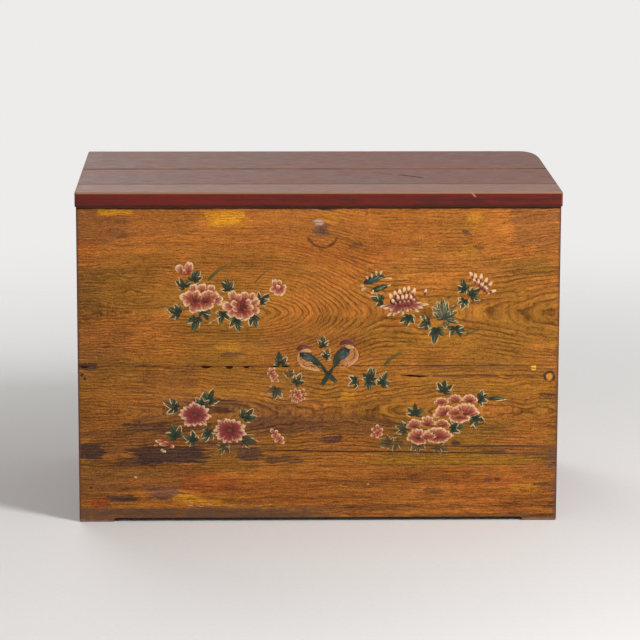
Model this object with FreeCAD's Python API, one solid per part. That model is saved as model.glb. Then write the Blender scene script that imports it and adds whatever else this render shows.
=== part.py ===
"""A painted plank trunk with a hinged lid of three boards, in millimetres.

The walls are edge-joined boards: the sides sit in rebates of the front and the back and are nailed there.
The bottom boards lie on cleats, two dovetailed battens keep the lid flat, and two strap hinges carry it.
+Z is up, the painted front faces -Y, and the origin is at the middle of the base, on the floor.
"""
import FreeCAD, Part
import math
import os

V = FreeCAD.Vector
X, Y, Z = V(1, 0, 0), V(0, 1, 0), V(0, 0, 1)

# Walls
BODY_LENGTH = 980.0
BODY_DEPTH = 580.0
BODY_HEIGHT = 653.0
FRONT_THICKNESS = 22.0
BACK_THICKNESS = 20.0
SIDE_THICKNESS = 22.0
CORNER_REBATE = 8.0  # how deep a side board sits in the front and the back
FRONT_SEAMS = (118.0, 326.0)  # heights where the front's boards meet
BACK_SEAMS = (172.0, 405.0)
SIDE_SEAMS = (287.0,)
WALL_ARRIS = 2.5  # worn round on the four upright corners
SEAM_ARRIS = 0.7  # small bevel on each board where two meet

# Feet, left standing where the lower edges are cut away
FOOT_LENGTH = 70.0
FOOT_HEIGHT = 8.0
FOOT_CURVE = 6.0
FOOT_CORNER = 3.5  # worn round at the outer lower corners of the front and the back

# Wear on the front: chips under the upper seam, as (place along X, length, height)
SEAM_CHIPS = (
    (-477.0, 20.0, 3.5), (-229.0, 25.0, 5.0), (-182.0, 17.0, 6.0),
    (-147.0, 14.0, 5.0), (-89.0, 21.0, 2.5), (-68.0, 19.0, 3.0),
)
CHIP_DEPTH = 4.0
# Drying cracks of the front, as a width and points (along X, height) of the middle line
CRACKS = (
    (1.6, ((-131.0, 150.5), (-60.0, 149.0), (20.0, 147.0), (160.0, 146.0), (300.0, 143.0), (480.0, 139.5))),
    (1.2, ((-262.0, 166.0), (-205.0, 163.5), (-140.0, 163.0), (-90.0, 161.0))),
    (1.4, ((168.0, 159.0), (300.0, 156.5), (395.0, 157.5), (480.0, 156.0))),
    (3.6, ((170.0, 306.0), (186.0, 305.0), (206.0, 303.5), (226.0, 304.0))),
    (1.2, ((233.0, 304.5), (340.0, 306.0), (458.0, 303.0))),
)
CRACK_DEPTH = 6.0

# Bottom
CLEAT_WIDTH = 24.0
CLEAT_HEIGHT = 24.0
CLEAT_LIFT = 12.0  # height of the cleats' undersides above the floor
BOTTOM_THICKNESS = 14.0
BOTTOM_BOARD_COUNT = 3
BOTTOM_GAP = 1.5  # shrinkage gap between bottom boards
BOTTOM_FIT = 0.8  # gap from the bottom boards to the walls

# Lid
LID_THICKNESS = 31.0
LID_GAP = 0.3  # the lid's underside above the walls
LID_SIDE_OVERHANG = 2.5
LID_FRONT_OVERHANG = 5.0
LID_REAR_OVERHANG = 22.0  # meets the back and stops the open lid
LID_FRONT_BOARD = 111.0
LID_MIDDLE_BOARD = 219.0
LID_TOP_ARRIS = 2.6
LID_LOW_ARRIS = 3.6
LID_CORNER = 5.0  # plan radius of the three square corners
WORN_CORNER_LENGTH = 38.0  # the rear right corner is worn away, along X
WORN_CORNER_DEPTH = 118.0  # and along Y

# Lid battens, each with a dovetailed key in the lid
BATTEN_FROM_END = 245.0  # from the body's ends to the middle of each batten
BATTEN_WIDTH = 46.0
BATTEN_HEIGHT = 20.0
BATTEN_BEVEL = 9.0
BATTEN_END_CLEARANCE = 10.0  # from the walls to the batten's ends
KEY_NECK = 26.0
KEY_FLARE = 33.0
KEY_HEIGHT = 9.0
KEY_CLEARANCE = 0.2

# Strap hinges
HINGE_FROM_END = 145.0  # from the body's ends to the middle of each hinge
LEAF_WIDTH = 34.0
LEAF_THICKNESS = 2.5
LEAF_FIT = 0.3  # gap round a leaf let into the wood
LID_LEAF_LENGTH = 150.0
BODY_LEAF_LENGTH = 96.0
LEAF_TIP = 9.0  # radius of the leaves' rounded corners
PIN_RADIUS = 2.5
PIN_CLEARANCE = 0.05
PIN_HEAD_RADIUS = 3.7
PIN_HEAD = 1.4
KNUCKLE_GAP = 0.4
BARREL_CLEARANCE = 0.8  # wood cut away round the knuckles
LEAF_NAIL_COUNT = 3

# Nails and dowels
NAIL_RADIUS = 1.7
NAIL_HEAD_RADIUS = 3.4
NAIL_HEAD = 1.2
NAIL_POINT = 6.0
NAIL_FIT = 0.05  # gap round a nail in its hole
NAIL_SET = 0.6  # how far heads are punched below the surface
NAIL_FROM_SEAM = 20.0  # from a board's edge to its corner nails
NAIL_BAY = 300.0  # a board gets one more corner nail for each such height
CORNER_NAIL = 52.0
CLEAT_NAIL = 38.0
BOTTOM_NAIL = 33.0
LID_LEAF_NAIL = 22.0
BODY_LEAF_NAIL = 15.0
CLEAT_NAIL_COUNT = 3
DOWEL_RADIUS = 3.0
DOWEL_LENGTH = 56.0
DOWEL_FIT = 0.1
DOWEL_END_GAP = 0.8
LONG_DOWEL_COUNT = 5  # in each seam of the front, the back and the lid
SIDE_DOWEL_COUNT = 3  # in each seam of a side

# Places that follow from those sizes
LID_DEPTH = LID_FRONT_OVERHANG + BODY_DEPTH + LID_REAR_OVERHANG
LID_HALF = BODY_LENGTH / 2 + LID_SIDE_OVERHANG
LID_FRONT, LID_REAR = -LID_DEPTH / 2, LID_DEPTH / 2
LID_UNDERSIDE = BODY_HEIGHT + LID_GAP
LID_TOP = LID_UNDERSIDE + LID_THICKNESS
LID_SEAMS = (LID_FRONT + LID_FRONT_BOARD, LID_FRONT + LID_FRONT_BOARD + LID_MIDDLE_BOARD)
HALF_LENGTH = BODY_LENGTH / 2
BATTEN_OFFSET = HALF_LENGTH - BATTEN_FROM_END
HINGE_OFFSET = HALF_LENGTH - HINGE_FROM_END
FRONT_FACE = LID_FRONT + LID_FRONT_OVERHANG
BACK_FACE = FRONT_FACE + BODY_DEPTH
INNER_FRONT = FRONT_FACE + FRONT_THICKNESS
INNER_BACK = BACK_FACE - BACK_THICKNESS
INNER_SIDE = HALF_LENGTH - SIDE_THICKNESS
SIDE_FRONT_END = INNER_FRONT - CORNER_REBATE
SIDE_BACK_END = INNER_BACK + CORNER_REBATE
CLEAT_TOP = CLEAT_LIFT + CLEAT_HEIGHT
FLOOR_TOP = CLEAT_TOP + BOTTOM_THICKNESS
BORE_RADIUS = PIN_RADIUS + PIN_CLEARANCE
KNUCKLE_RADIUS = BORE_RADIUS + LEAF_THICKNESS
AXIS_Y = BACK_FACE - LEAF_THICKNESS + KNUCKLE_RADIUS
AXIS_Z = LID_UNDERSIDE + LEAF_THICKNESS - KNUCKLE_RADIUS
KNUCKLE = (LEAF_WIDTH - 2 * KNUCKLE_GAP) / 3
LEAF_START = KNUCKLE_RADIUS + KNUCKLE_GAP  # from the hinge's axis to the full width of a leaf
OUTSIDE = 5.0  # how far a cutting shape reaches past the wood
SAME_PLACE = 0.01  # points closer than this are in one place


def box(low, high):
    """The block between two opposite corners."""
    size = high - low
    return Part.makeBox(size.x, size.y, size.z, low)


def prism(points, along):
    """A polygon carried along a straight line."""
    return Part.Face(Part.makePolygon([*points, points[0]])).extrude(along)


def cylinder(centre, along, radius):
    """A round bar of the length of along, with its middle at centre."""
    return Part.makeCylinder(radius, along.Length, centre - along / 2, along)


def spread(low, high, count):
    """Places for count things, each in the middle of its share of the stretch."""
    return [low + (high - low) * (i + 0.5) / count for i in range(count)]


def seam_groove(start, along, outward, across):
    """The V between the bevelled arrises of two boards that meet at start, seen along the seam."""
    rim = start + outward * SEAM_ARRIS
    half = across * (2 * SEAM_ARRIS)
    return prism([start - outward * SEAM_ARRIS, rim + half, rim - half], along)


def nail(head, along, length, slack=0.0, countersunk=False, above=0.0):
    """A forged nail whose head starts at head. With slack and above, it is the nail's hole."""
    shank, rim = NAIL_RADIUS + slack, NAIL_HEAD_RADIUS + slack
    neck = rim - shank if countersunk else NAIL_HEAD + slack
    profile = [V(0, 0, -above), V(rim, 0, -above), V(rim, 0, 0)]
    if not countersunk:
        profile.append(V(rim, 0, neck))
    profile += [V(shank, 0, neck), V(shank, 0, length - NAIL_POINT), V(0, 0, length + slack)]
    if above == 0:
        profile.pop(0)
        profile[0] = V(0, 0, 0)
    solid = Part.Face(Part.makePolygon([*profile, profile[0]])).revolve(V(0, 0, 0), Z, 360)
    solid.Placement = FreeCAD.Placement(head, FreeCAD.Rotation(Z, along))
    return solid


def nail_hole(head, along, length, countersunk=False):
    """The hole of a nail, open above its head."""
    return nail(head, along, length, NAIL_FIT, countersunk, OUTSIDE)


def dowel(centre, direction):
    """A bamboo dowel across a seam."""
    return cylinder(centre, direction * DOWEL_LENGTH, DOWEL_RADIUS)


def dowel_hole(centre, direction):
    """The space of a dowel, shared by the two boards that it joins."""
    return cylinder(centre, direction * (DOWEL_LENGTH + 2 * DOWEL_END_GAP), DOWEL_RADIUS + DOWEL_FIT)


def saw(panel, cuts, axis):
    """Cuts a panel across axis at the given places and returns its boards, lowest first."""
    bound = panel.BoundBox
    low = V(bound.XMin, bound.YMin, bound.ZMin) - V(OUTSIDE, OUTSIDE, OUTSIDE)
    high = V(bound.XMax, bound.YMax, bound.ZMax) + V(OUTSIDE, OUTSIDE, OUTSIDE)
    marks = [low.dot(axis), *cuts, high.dot(axis)]
    boards = []
    for start, end in zip(marks, marks[1:]):
        first = low + axis * (start - low.dot(axis))
        last = high + axis * (end - high.dot(axis))
        boards.append(panel.common(box(first, last)).removeSplitter())
    return boards


def fillet_where(solid, radius, wanted):
    """Rounds the edges for whose middle point wanted is true."""
    chosen = []
    for edge in solid.Edges:
        middle = edge.valueAt((edge.FirstParameter + edge.LastParameter) / 2)
        if wanted(middle):
            chosen.append(edge)
    return solid.makeFillet(radius, chosen)


def foot_cut(start, along, through):
    """The low space between two feet: a slot with round upper corners, carried through the wall."""
    length = along.Length
    run = along / length
    turn = FOOT_CURVE * (1 - math.sqrt(0.5))
    high, bend = FOOT_HEIGHT, FOOT_CURVE

    def at(distance, height):
        return start + run * distance + Z * height

    edges = [
        Part.LineSegment(at(0, -OUTSIDE), at(0, high - bend)),
        Part.Arc(at(0, high - bend), at(turn, high - turn), at(bend, high)),
        Part.LineSegment(at(bend, high), at(length - bend, high)),
        Part.Arc(at(length - bend, high), at(length - turn, high - turn), at(length, high - bend)),
        Part.LineSegment(at(length, high - bend), at(length, -OUTSIDE)),
        Part.LineSegment(at(length, -OUTSIDE), at(0, -OUTSIDE)),
    ]
    return Part.Face(Part.Wire([edge.toShape() for edge in edges])).extrude(through)


def board_heights(seams):
    """The lower and upper edge of each board of a wall."""
    marks = [0.0, *seams, BODY_HEIGHT]
    return list(zip(marks, marks[1:]))


def corner_nail_heights(seams):
    """Two or more nails for each board, the outer ones a set distance from its edges."""
    heights = []
    for low, high in board_heights(seams):
        count = 2 + int((high - low) // NAIL_BAY)
        first, last = low + NAIL_FROM_SEAM, high - NAIL_FROM_SEAM
        heights += [first + (last - first) * i / (count - 1) for i in range(count)]
    return heights


def corner_nails(face, inward, seams):
    """Heads and directions of the nails that hold a long wall to the two sides."""
    middle = HALF_LENGTH - SIDE_THICKNESS / 2
    start = face + inward * NAIL_SET
    return [(V(x, start, z), Y * inward) for x in (-middle, middle) for z in corner_nail_heights(seams)]


def long_wall_dowels(face, inward, thickness, seams):
    """Centres of the dowels in the seams of the front or the back."""
    y = face + inward * thickness / 2
    reach = INNER_SIDE - DOWEL_LENGTH / 2
    return [V(x, y, seam) for seam in seams for x in spread(-reach, reach, LONG_DOWEL_COUNT)]


def side_wall_dowels(side):
    """Centres of the dowels in the seams of one side."""
    x = side * (HALF_LENGTH - SIDE_THICKNESS / 2)
    return [V(x, y, seam) for seam in SIDE_SEAMS for y in spread(INNER_FRONT, INNER_BACK, SIDE_DOWEL_COUNT)]


def lid_dowels():
    """Centres of the dowels in the seams of the lid."""
    z = LID_UNDERSIDE + (LID_THICKNESS + KEY_HEIGHT) / 2
    return [V(x, y, z) for y in LID_SEAMS for x in spread(-INNER_SIDE, INNER_SIDE, LONG_DOWEL_COUNT)]


def corner_joint_grooves(side):
    """The fine V lines on a side where it meets the ends of the front and the back."""
    lines = []
    for y in (SIDE_FRONT_END, SIDE_BACK_END):
        start = V(side * HALF_LENGTH, y, -OUTSIDE)
        lines.append(seam_groove(start, Z * (BODY_HEIGHT + 2 * OUTSIDE), X * side, Y))
    return lines


def long_wall(face, inward, thickness, seams):
    """The front or the back as one panel, before it is sawn into boards. inward is +1 or -1 along Y."""
    inner = face + inward * thickness
    low_y, high_y = min(face, inner), max(face, inner)
    panel = box(V(-HALF_LENGTH, low_y, 0), V(HALF_LENGTH, high_y, BODY_HEIGHT))

    def outer_upright(middle):
        along_y = abs(middle.y - face) < SAME_PLACE
        at_end = abs(middle.x) > HALF_LENGTH - FOOT_CORNER
        return along_y and at_end and middle.z < BODY_HEIGHT - SAME_PLACE

    def outer_foot(middle):
        return middle.z < SAME_PLACE and abs(abs(middle.x) - HALF_LENGTH) < SAME_PLACE

    panel = fillet_where(panel, FOOT_CORNER, outer_foot)
    panel = fillet_where(panel, WALL_ARRIS, outer_upright)
    cuts = []
    for side in (-1, 1):
        reach = sorted((side * INNER_SIDE, side * (HALF_LENGTH + OUTSIDE)))
        rebate = sorted((inner - inward * CORNER_REBATE, inner + inward * OUTSIDE))
        cuts.append(box(V(reach[0], rebate[0], -OUTSIDE), V(reach[1], rebate[1], BODY_HEIGHT + OUTSIDE)))
        cuts += corner_joint_grooves(side)
    for seam in seams:
        start = V(-HALF_LENGTH - OUTSIDE, face, seam)
        cuts.append(seam_groove(start, X * (BODY_LENGTH + 2 * OUTSIDE), Y * -inward, Z))
    feet_start = V(-HALF_LENGTH + FOOT_LENGTH, low_y - OUTSIDE, 0)
    cuts.append(foot_cut(feet_start, X * (BODY_LENGTH - 2 * FOOT_LENGTH), Y * (thickness + 2 * OUTSIDE)))
    cuts += [dowel_hole(centre, Z) for centre in long_wall_dowels(face, inward, thickness, seams)]
    cuts += [nail_hole(head, along, CORNER_NAIL) for head, along in corner_nails(face, inward, seams)]
    return panel.cut(Part.makeCompound(cuts))


def front_wear():
    """What wear has taken from the front: chips below the upper seam and drying cracks."""
    cuts = []
    seam = FRONT_SEAMS[-1]
    outside = FRONT_FACE - OUTSIDE
    for x, length, height in SEAM_CHIPS:
        radius = (length * length / 4 + height * height) / (2 * height)
        disc = Part.makeCylinder(radius, OUTSIDE + CHIP_DEPTH, V(x, outside, seam - height + radius), Y)
        low = V(x - length, outside - OUTSIDE, seam - height - OUTSIDE)
        below = box(low, V(x + length, INNER_FRONT, seam))
        cuts.append(disc.common(below))
    for width, points in CRACKS:
        upper = [V(x, outside, z + width / 2) for x, z in points[1:-1]]
        lower = [V(x, outside, z - width / 2) for x, z in points[-2:0:-1]]
        ends = [V(x, outside, z) for x, z in (points[0], points[-1])]
        cuts.append(prism([ends[0], *upper, ends[1], *lower], Y * (OUTSIDE + CRACK_DEPTH)))
    return Part.makeCompound(cuts)


def cleat_nails():
    """Heads and directions of the nails that hold the cleats to the four walls."""
    z = CLEAT_LIFT + CLEAT_HEIGHT / 2
    front, rear = INNER_FRONT + CLEAT_WIDTH, INNER_BACK - CLEAT_WIDTH
    side = INNER_SIDE - CLEAT_WIDTH
    places = []
    for x in spread(-INNER_SIDE, INNER_SIDE, CLEAT_NAIL_COUNT + 1):
        places += [(V(x, front, z), -Y), (V(x, rear, z), Y)]
    for y in spread(front, rear, CLEAT_NAIL_COUNT):
        places += [(V(-side, y, z), -X), (V(side, y, z), X)]
    return places


def cleat_nail_holes():
    """The holes of all cleat nails, through the cleats and into the walls."""
    return Part.makeCompound([nail_hole(head, along, CLEAT_NAIL) for head, along in cleat_nails()])


def side_wall(side):
    """One side as a panel, before it is sawn into boards. side is -1 on the left and +1 on the right."""
    across = sorted((side * INNER_SIDE, side * HALF_LENGTH))
    panel = box(V(across[0], SIDE_FRONT_END, 0), V(across[1], SIDE_BACK_END, BODY_HEIGHT))
    cuts = corner_joint_grooves(side)
    for seam in SIDE_SEAMS:
        start = V(side * HALF_LENGTH, FRONT_FACE, seam)
        cuts.append(seam_groove(start, Y * BODY_DEPTH, X * side, Z))
    feet_start = V(across[0] - OUTSIDE, FRONT_FACE + FOOT_LENGTH, 0)
    cuts.append(foot_cut(feet_start, Y * (BODY_DEPTH - 2 * FOOT_LENGTH), X * (SIDE_THICKNESS + 2 * OUTSIDE)))
    cuts += [dowel_hole(centre, Z) for centre in side_wall_dowels(side)]
    for face, inward, seams in ((FRONT_FACE, 1, FRONT_SEAMS), (BACK_FACE, -1, BACK_SEAMS)):
        for head, along in corner_nails(face, inward, seams):
            if head.x * side > 0:
                cuts.append(nail_hole(head, along, CORNER_NAIL))
    return panel.cut(Part.makeCompound(cuts)).cut(cleat_nail_holes())


def cleats():
    """The strips round the inside that carry the bottom boards, and one across the middle."""
    low, high = CLEAT_LIFT, CLEAT_TOP
    front, rear = INNER_FRONT + CLEAT_WIDTH, INNER_BACK - CLEAT_WIDTH
    strips = {
        "bottom_cleat_front": box(V(-INNER_SIDE, INNER_FRONT, low), V(INNER_SIDE, front, high)),
        "bottom_cleat_rear": box(V(-INNER_SIDE, rear, low), V(INNER_SIDE, INNER_BACK, high)),
        "bottom_cleat_left": box(V(-INNER_SIDE, front, low), V(CLEAT_WIDTH - INNER_SIDE, rear, high)),
        "bottom_cleat_right": box(V(INNER_SIDE - CLEAT_WIDTH, front, low), V(INNER_SIDE, rear, high)),
        "bottom_cleat_middle": box(V(-CLEAT_WIDTH / 2, front, low), V(CLEAT_WIDTH / 2, rear, high)),
    }
    holes = Part.makeCompound([nail_hole(head, along, BOTTOM_NAIL) for head, along in bottom_nails()])
    return {name: strip.cut(cleat_nail_holes()).cut(holes) for name, strip in strips.items()}


def bottom_board_bounds():
    """Front and rear edge of each bottom board, with shrinkage gaps between them."""
    first, last = INNER_FRONT + BOTTOM_FIT, INNER_BACK - BOTTOM_FIT
    width = (last - first - (BOTTOM_BOARD_COUNT - 1) * BOTTOM_GAP) / BOTTOM_BOARD_COUNT
    starts = [first + i * (width + BOTTOM_GAP) for i in range(BOTTOM_BOARD_COUNT)]
    return [(start, start + width) for start in starts]


def bottom_nails():
    """Heads and directions of the nails through the bottom boards into the cross cleats."""
    line = INNER_SIDE - CLEAT_WIDTH / 2
    places = []
    for front, rear in bottom_board_bounds():
        for y in spread(front, rear, 2):
            places += [(V(x, y, FLOOR_TOP - NAIL_SET), -Z) for x in (-line, 0, line)]
    return places


def bottom_boards():
    """The boards that close the bottom, lying on the cleats."""
    holes = Part.makeCompound([nail_hole(head, along, BOTTOM_NAIL) for head, along in bottom_nails()])
    reach = INNER_SIDE - BOTTOM_FIT
    boards = []
    for front, rear in bottom_board_bounds():
        boards.append(box(V(-reach, front, CLEAT_TOP), V(reach, rear, FLOOR_TOP)).cut(holes))
    return boards


def lid_slab():
    """The whole lid before it is sawn: a rounded plan with one worn corner, and rounded arrises."""
    corner = LID_CORNER
    turn = corner * (1 - math.sqrt(0.5))

    def at(x, y):
        return V(x, y, LID_UNDERSIDE)

    def round_corner(start, middle, end):
        return Part.Arc(at(*start), at(*middle), at(*end)).toShape()

    left, right, front, rear = -LID_HALF, LID_HALF, LID_FRONT, LID_REAR
    worn = Part.BezierCurve()
    worn_start, worn_end = at(right, rear - WORN_CORNER_DEPTH), at(right - WORN_CORNER_LENGTH, rear)
    worn.setPoles([worn_start, at(right, rear), worn_end])
    edges = [
        Part.LineSegment(at(left + corner, front), at(right - corner, front)).toShape(),
        round_corner((right - corner, front), (right - turn, front + turn), (right, front + corner)),
        Part.LineSegment(at(right, front + corner), worn_start).toShape(),
        worn.toShape(),
        Part.LineSegment(worn_end, at(left + corner, rear)).toShape(),
        round_corner((left + corner, rear), (left + turn, rear - turn), (left, rear - corner)),
        Part.LineSegment(at(left, rear - corner), at(left, front + corner)).toShape(),
        round_corner((left, front + corner), (left + turn, front + turn), (left + corner, front)),
    ]
    slab = Part.Face(Part.Wire(edges)).extrude(Z * LID_THICKNESS)

    def on_top(middle):
        return abs(middle.z - LID_TOP) < SAME_PLACE

    def on_underside(middle):
        return abs(middle.z - LID_UNDERSIDE) < SAME_PLACE

    return fillet_where(fillet_where(slab, LID_TOP_ARRIS, on_top), LID_LOW_ARRIS, on_underside)


def batten_key(x, slack):
    """The dovetailed key of the batten at x, from its front end to past the lid's rear edge."""
    start = INNER_FRONT + BATTEN_END_CLEARANCE - slack
    neck, flare = KEY_NECK / 2 + slack, KEY_FLARE / 2 + slack
    low, high = LID_UNDERSIDE, LID_UNDERSIDE + KEY_HEIGHT + slack
    bottom = [V(x - neck, start, low), V(x + neck, start, low)]
    section = [*bottom, V(x + flare, start, high), V(x - flare, start, high)]
    return prism(section, Y * (LID_REAR + OUTSIDE - start))


def batten(x, slab):
    """A lid batten with bevelled ends and its key, which follows the lid's rounded rear edge."""
    front, rear = INNER_FRONT + BATTEN_END_CLEARANCE, INNER_BACK - BATTEN_END_CLEARANCE
    top, low = LID_UNDERSIDE, LID_UNDERSIDE - BATTEN_HEIGHT
    shoulder = low + BATTEN_BEVEL
    side = x - BATTEN_WIDTH / 2
    outline = [
        V(side, front, top), V(side, front, shoulder), V(side, front + BATTEN_BEVEL, low),
        V(side, rear - BATTEN_BEVEL, low), V(side, rear, shoulder), V(side, rear, top),
    ]
    bar = prism(outline, X * BATTEN_WIDTH)
    return bar.fuse(batten_key(x, 0.0).common(slab)).removeSplitter()


def barrel(x, length, radius):
    """A round bar on the hinge axis, with its middle at x."""
    return cylinder(V(x, AXIS_Y, AXIS_Z), X * length, radius)


def knuckle_places(x):
    """Middles of a hinge's three knuckles: the middle one is the lid's, the outer two the wall's."""
    step = KNUCKLE + KNUCKLE_GAP
    return x - step, x, x + step


def lid_leaf_nails(x):
    """Heads and directions of the nails through a strap under the lid."""
    start, end = AXIS_Y - LID_LEAF_LENGTH, AXIS_Y - LEAF_START
    return [(V(x, y, LID_UNDERSIDE), Z) for y in spread(start, end, LEAF_NAIL_COUNT)]


def body_leaf_nails(x):
    """Heads and directions of the nails through a leaf on the back."""
    start, end = AXIS_Z - BODY_LEAF_LENGTH, AXIS_Z - LEAF_START
    return [(V(x, BACK_FACE, z), -Y) for z in spread(start, end, LEAF_NAIL_COUNT)]


def leaf(plate, tabs, rings, holes, free_end):
    """A hinge leaf: a plate with rounded free corners, wrapped round the pin in its knuckles."""
    plate = fillet_where(plate, LEAF_TIP, free_end)
    solid = plate.multiFuse([*tabs, *rings]).removeSplitter()
    return solid.cut(Part.makeCompound(holes))


def lid_leaf(x):
    """The strap let into the lid's underside."""
    half, middle = LEAF_WIDTH / 2, KNUCKLE / 2
    low, high = LID_UNDERSIDE, LID_UNDERSIDE + LEAF_THICKNESS
    end = AXIS_Y - LID_LEAF_LENGTH
    plate = box(V(x - half, end, low), V(x + half, AXIS_Y - LEAF_START, high))
    tab = box(V(x - middle, AXIS_Y - LEAF_START, low), V(x + middle, AXIS_Y, high))
    holes = [nail_hole(head, along, LID_LEAF_NAIL, True) for head, along in lid_leaf_nails(x)]
    holes.append(barrel(x, LEAF_WIDTH, BORE_RADIUS))

    def free_end(point):
        return abs(point.y - end) < SAME_PLACE and abs(point.z - (low + high) / 2) < SAME_PLACE

    return leaf(plate, [tab], [barrel(x, KNUCKLE, KNUCKLE_RADIUS)], holes, free_end)


def body_leaf(x):
    """The leaf let into the outside of the back."""
    half, middle = LEAF_WIDTH / 2, KNUCKLE / 2
    inner, outer = BACK_FACE - LEAF_THICKNESS, BACK_FACE
    end = AXIS_Z - BODY_LEAF_LENGTH
    plate = box(V(x - half, inner, end), V(x + half, outer, AXIS_Z - LEAF_START))
    outer_knuckles = knuckle_places(x)[::2]
    tab_foot = AXIS_Z - LEAF_START
    tabs = [box(V(k - middle, inner, tab_foot), V(k + middle, outer, AXIS_Z)) for k in outer_knuckles]
    rings = [barrel(k, KNUCKLE, KNUCKLE_RADIUS) for k in outer_knuckles]
    holes = [nail_hole(head, along, BODY_LEAF_NAIL, True) for head, along in body_leaf_nails(x)]
    holes.append(barrel(x, 2 * LEAF_WIDTH, BORE_RADIUS))

    def free_end(point):
        return abs(point.z - end) < SAME_PLACE and abs(point.y - (inner + outer) / 2) < SAME_PLACE

    return leaf(plate, tabs, rings, holes, free_end)


def hinge_pin(x):
    """A pin with a peened head at each end."""
    pin = barrel(x, LEAF_WIDTH, PIN_RADIUS)
    heads = [barrel(x + side * (LEAF_WIDTH + PIN_HEAD) / 2, PIN_HEAD, PIN_HEAD_RADIUS) for side in (-1, 1)]
    return pin.multiFuse(heads).removeSplitter()


def barrel_space(x):
    """The room that the wood leaves round a hinge's knuckles and pin heads."""
    return barrel(x, LEAF_WIDTH + 2 * (PIN_HEAD + BARREL_CLEARANCE), KNUCKLE_RADIUS + BARREL_CLEARANCE)


def lid_hinge_cuts(x):
    """The strap's seat under the lid, with its nail holes."""
    half = LEAF_WIDTH / 2 + LEAF_FIT
    front = AXIS_Y - LID_LEAF_LENGTH - LEAF_FIT
    low, high = LID_UNDERSIDE - OUTSIDE, LID_UNDERSIDE + LEAF_THICKNESS
    seat = box(V(x - half, front, low), V(x + half, AXIS_Y, high))
    holes = [nail_hole(head, along, LID_LEAF_NAIL, True) for head, along in lid_leaf_nails(x)]
    return [seat, barrel_space(x), *holes]


def body_hinge_cuts(x):
    """The leaf's seat in the back, with its nail holes."""
    half = LEAF_WIDTH / 2 + LEAF_FIT
    low, high = AXIS_Z - BODY_LEAF_LENGTH - LEAF_FIT, BODY_HEIGHT + OUTSIDE
    seat = box(V(x - half, BACK_FACE - LEAF_THICKNESS, low), V(x + half, BACK_FACE + OUTSIDE, high))
    holes = [nail_hole(head, along, BODY_LEAF_NAIL, True) for head, along in body_leaf_nails(x)]
    return [seat, barrel_space(x), *holes]


def lid_boards(slab):
    """The lid's three boards, front first, with the battens' slots and the hinges' seats."""
    cuts = [batten_key(side * BATTEN_OFFSET, KEY_CLEARANCE) for side in (-1, 1)]
    for side in (-1, 1):
        cuts += lid_hinge_cuts(side * HINGE_OFFSET)
    for y in LID_SEAMS:
        cuts.append(seam_groove(V(-LID_HALF - OUTSIDE, y, LID_TOP), X * (2 * LID_HALF + 2 * OUTSIDE), Z, Y))
    cuts += [dowel_hole(centre, Y) for centre in lid_dowels()]
    return saw(slab.cut(Part.makeCompound(cuts)), LID_SEAMS, Y)


def named(names, solids):
    """Pairs names with solids."""
    return dict(zip(names, solids, strict=True))


def nails(places, length, countersunk=False):
    """A group of like nails."""
    return Part.makeCompound([nail(head, along, length, 0.0, countersunk) for head, along in places])


def dowels(centres, direction):
    """A group of like dowels."""
    return Part.makeCompound([dowel(centre, direction) for centre in centres])


def build():
    """Every piece of the trunk by its node's name."""
    pieces = {}
    front = long_wall(FRONT_FACE, 1, FRONT_THICKNESS, FRONT_SEAMS).cut(front_wear()).cut(cleat_nail_holes())
    back = long_wall(BACK_FACE, -1, BACK_THICKNESS, BACK_SEAMS).cut(cleat_nail_holes())
    hinge_places = {"left": -HINGE_OFFSET, "right": HINGE_OFFSET}
    back_cuts = [cut for x in hinge_places.values() for cut in body_hinge_cuts(x)]
    back = back.cut(Part.makeCompound(back_cuts))
    heights = ("lower", "middle", "upper")
    pieces |= named([f"front_board_{h}" for h in heights], saw(front, FRONT_SEAMS, Z))
    pieces |= named([f"back_board_{h}" for h in heights], saw(back, BACK_SEAMS, Z))
    for name, side in (("left", -1), ("right", 1)):
        boards = saw(side_wall(side), SIDE_SEAMS, Z)
        pieces |= named([f"{name}_side_board_lower", f"{name}_side_board_upper"], boards)
    pieces |= named([f"bottom_board_{p}" for p in ("front", "middle", "rear")], bottom_boards())
    pieces |= cleats()

    slab = lid_slab()
    pieces |= named([f"lid_board_{p}" for p in ("front", "middle", "rear")], lid_boards(slab))
    for name, side in (("left", -1), ("right", 1)):
        pieces[f"lid_batten_{name}"] = batten(side * BATTEN_OFFSET, slab)
    for name, x in hinge_places.items():
        pieces[f"{name}_hinge_lid_leaf"] = lid_leaf(x)
        pieces[f"{name}_hinge_body_leaf"] = body_leaf(x)
        pieces[f"{name}_hinge_pin"] = hinge_pin(x)

    wall_dowels = long_wall_dowels(FRONT_FACE, 1, FRONT_THICKNESS, FRONT_SEAMS)
    wall_dowels += long_wall_dowels(BACK_FACE, -1, BACK_THICKNESS, BACK_SEAMS)
    wall_dowels += side_wall_dowels(-1) + side_wall_dowels(1)
    pieces["wall_dowels"] = dowels(wall_dowels, Z)
    pieces["lid_dowels"] = dowels(lid_dowels(), Y)
    corners = corner_nails(FRONT_FACE, 1, FRONT_SEAMS) + corner_nails(BACK_FACE, -1, BACK_SEAMS)
    pieces["corner_nails"] = nails(corners, CORNER_NAIL)
    straps = [place for x in hinge_places.values() for place in lid_leaf_nails(x)]
    pieces["hinge_lid_nails"] = nails(straps, LID_LEAF_NAIL, True)
    leaves = [place for x in hinge_places.values() for place in body_leaf_nails(x)]
    pieces["hinge_body_nails"] = nails(leaves, BODY_LEAF_NAIL, True)
    pieces["cleat_nails"] = nails(cleat_nails(), CLEAT_NAIL)
    pieces["bottom_nails"] = nails(bottom_nails(), BOTTOM_NAIL)
    return pieces


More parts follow.
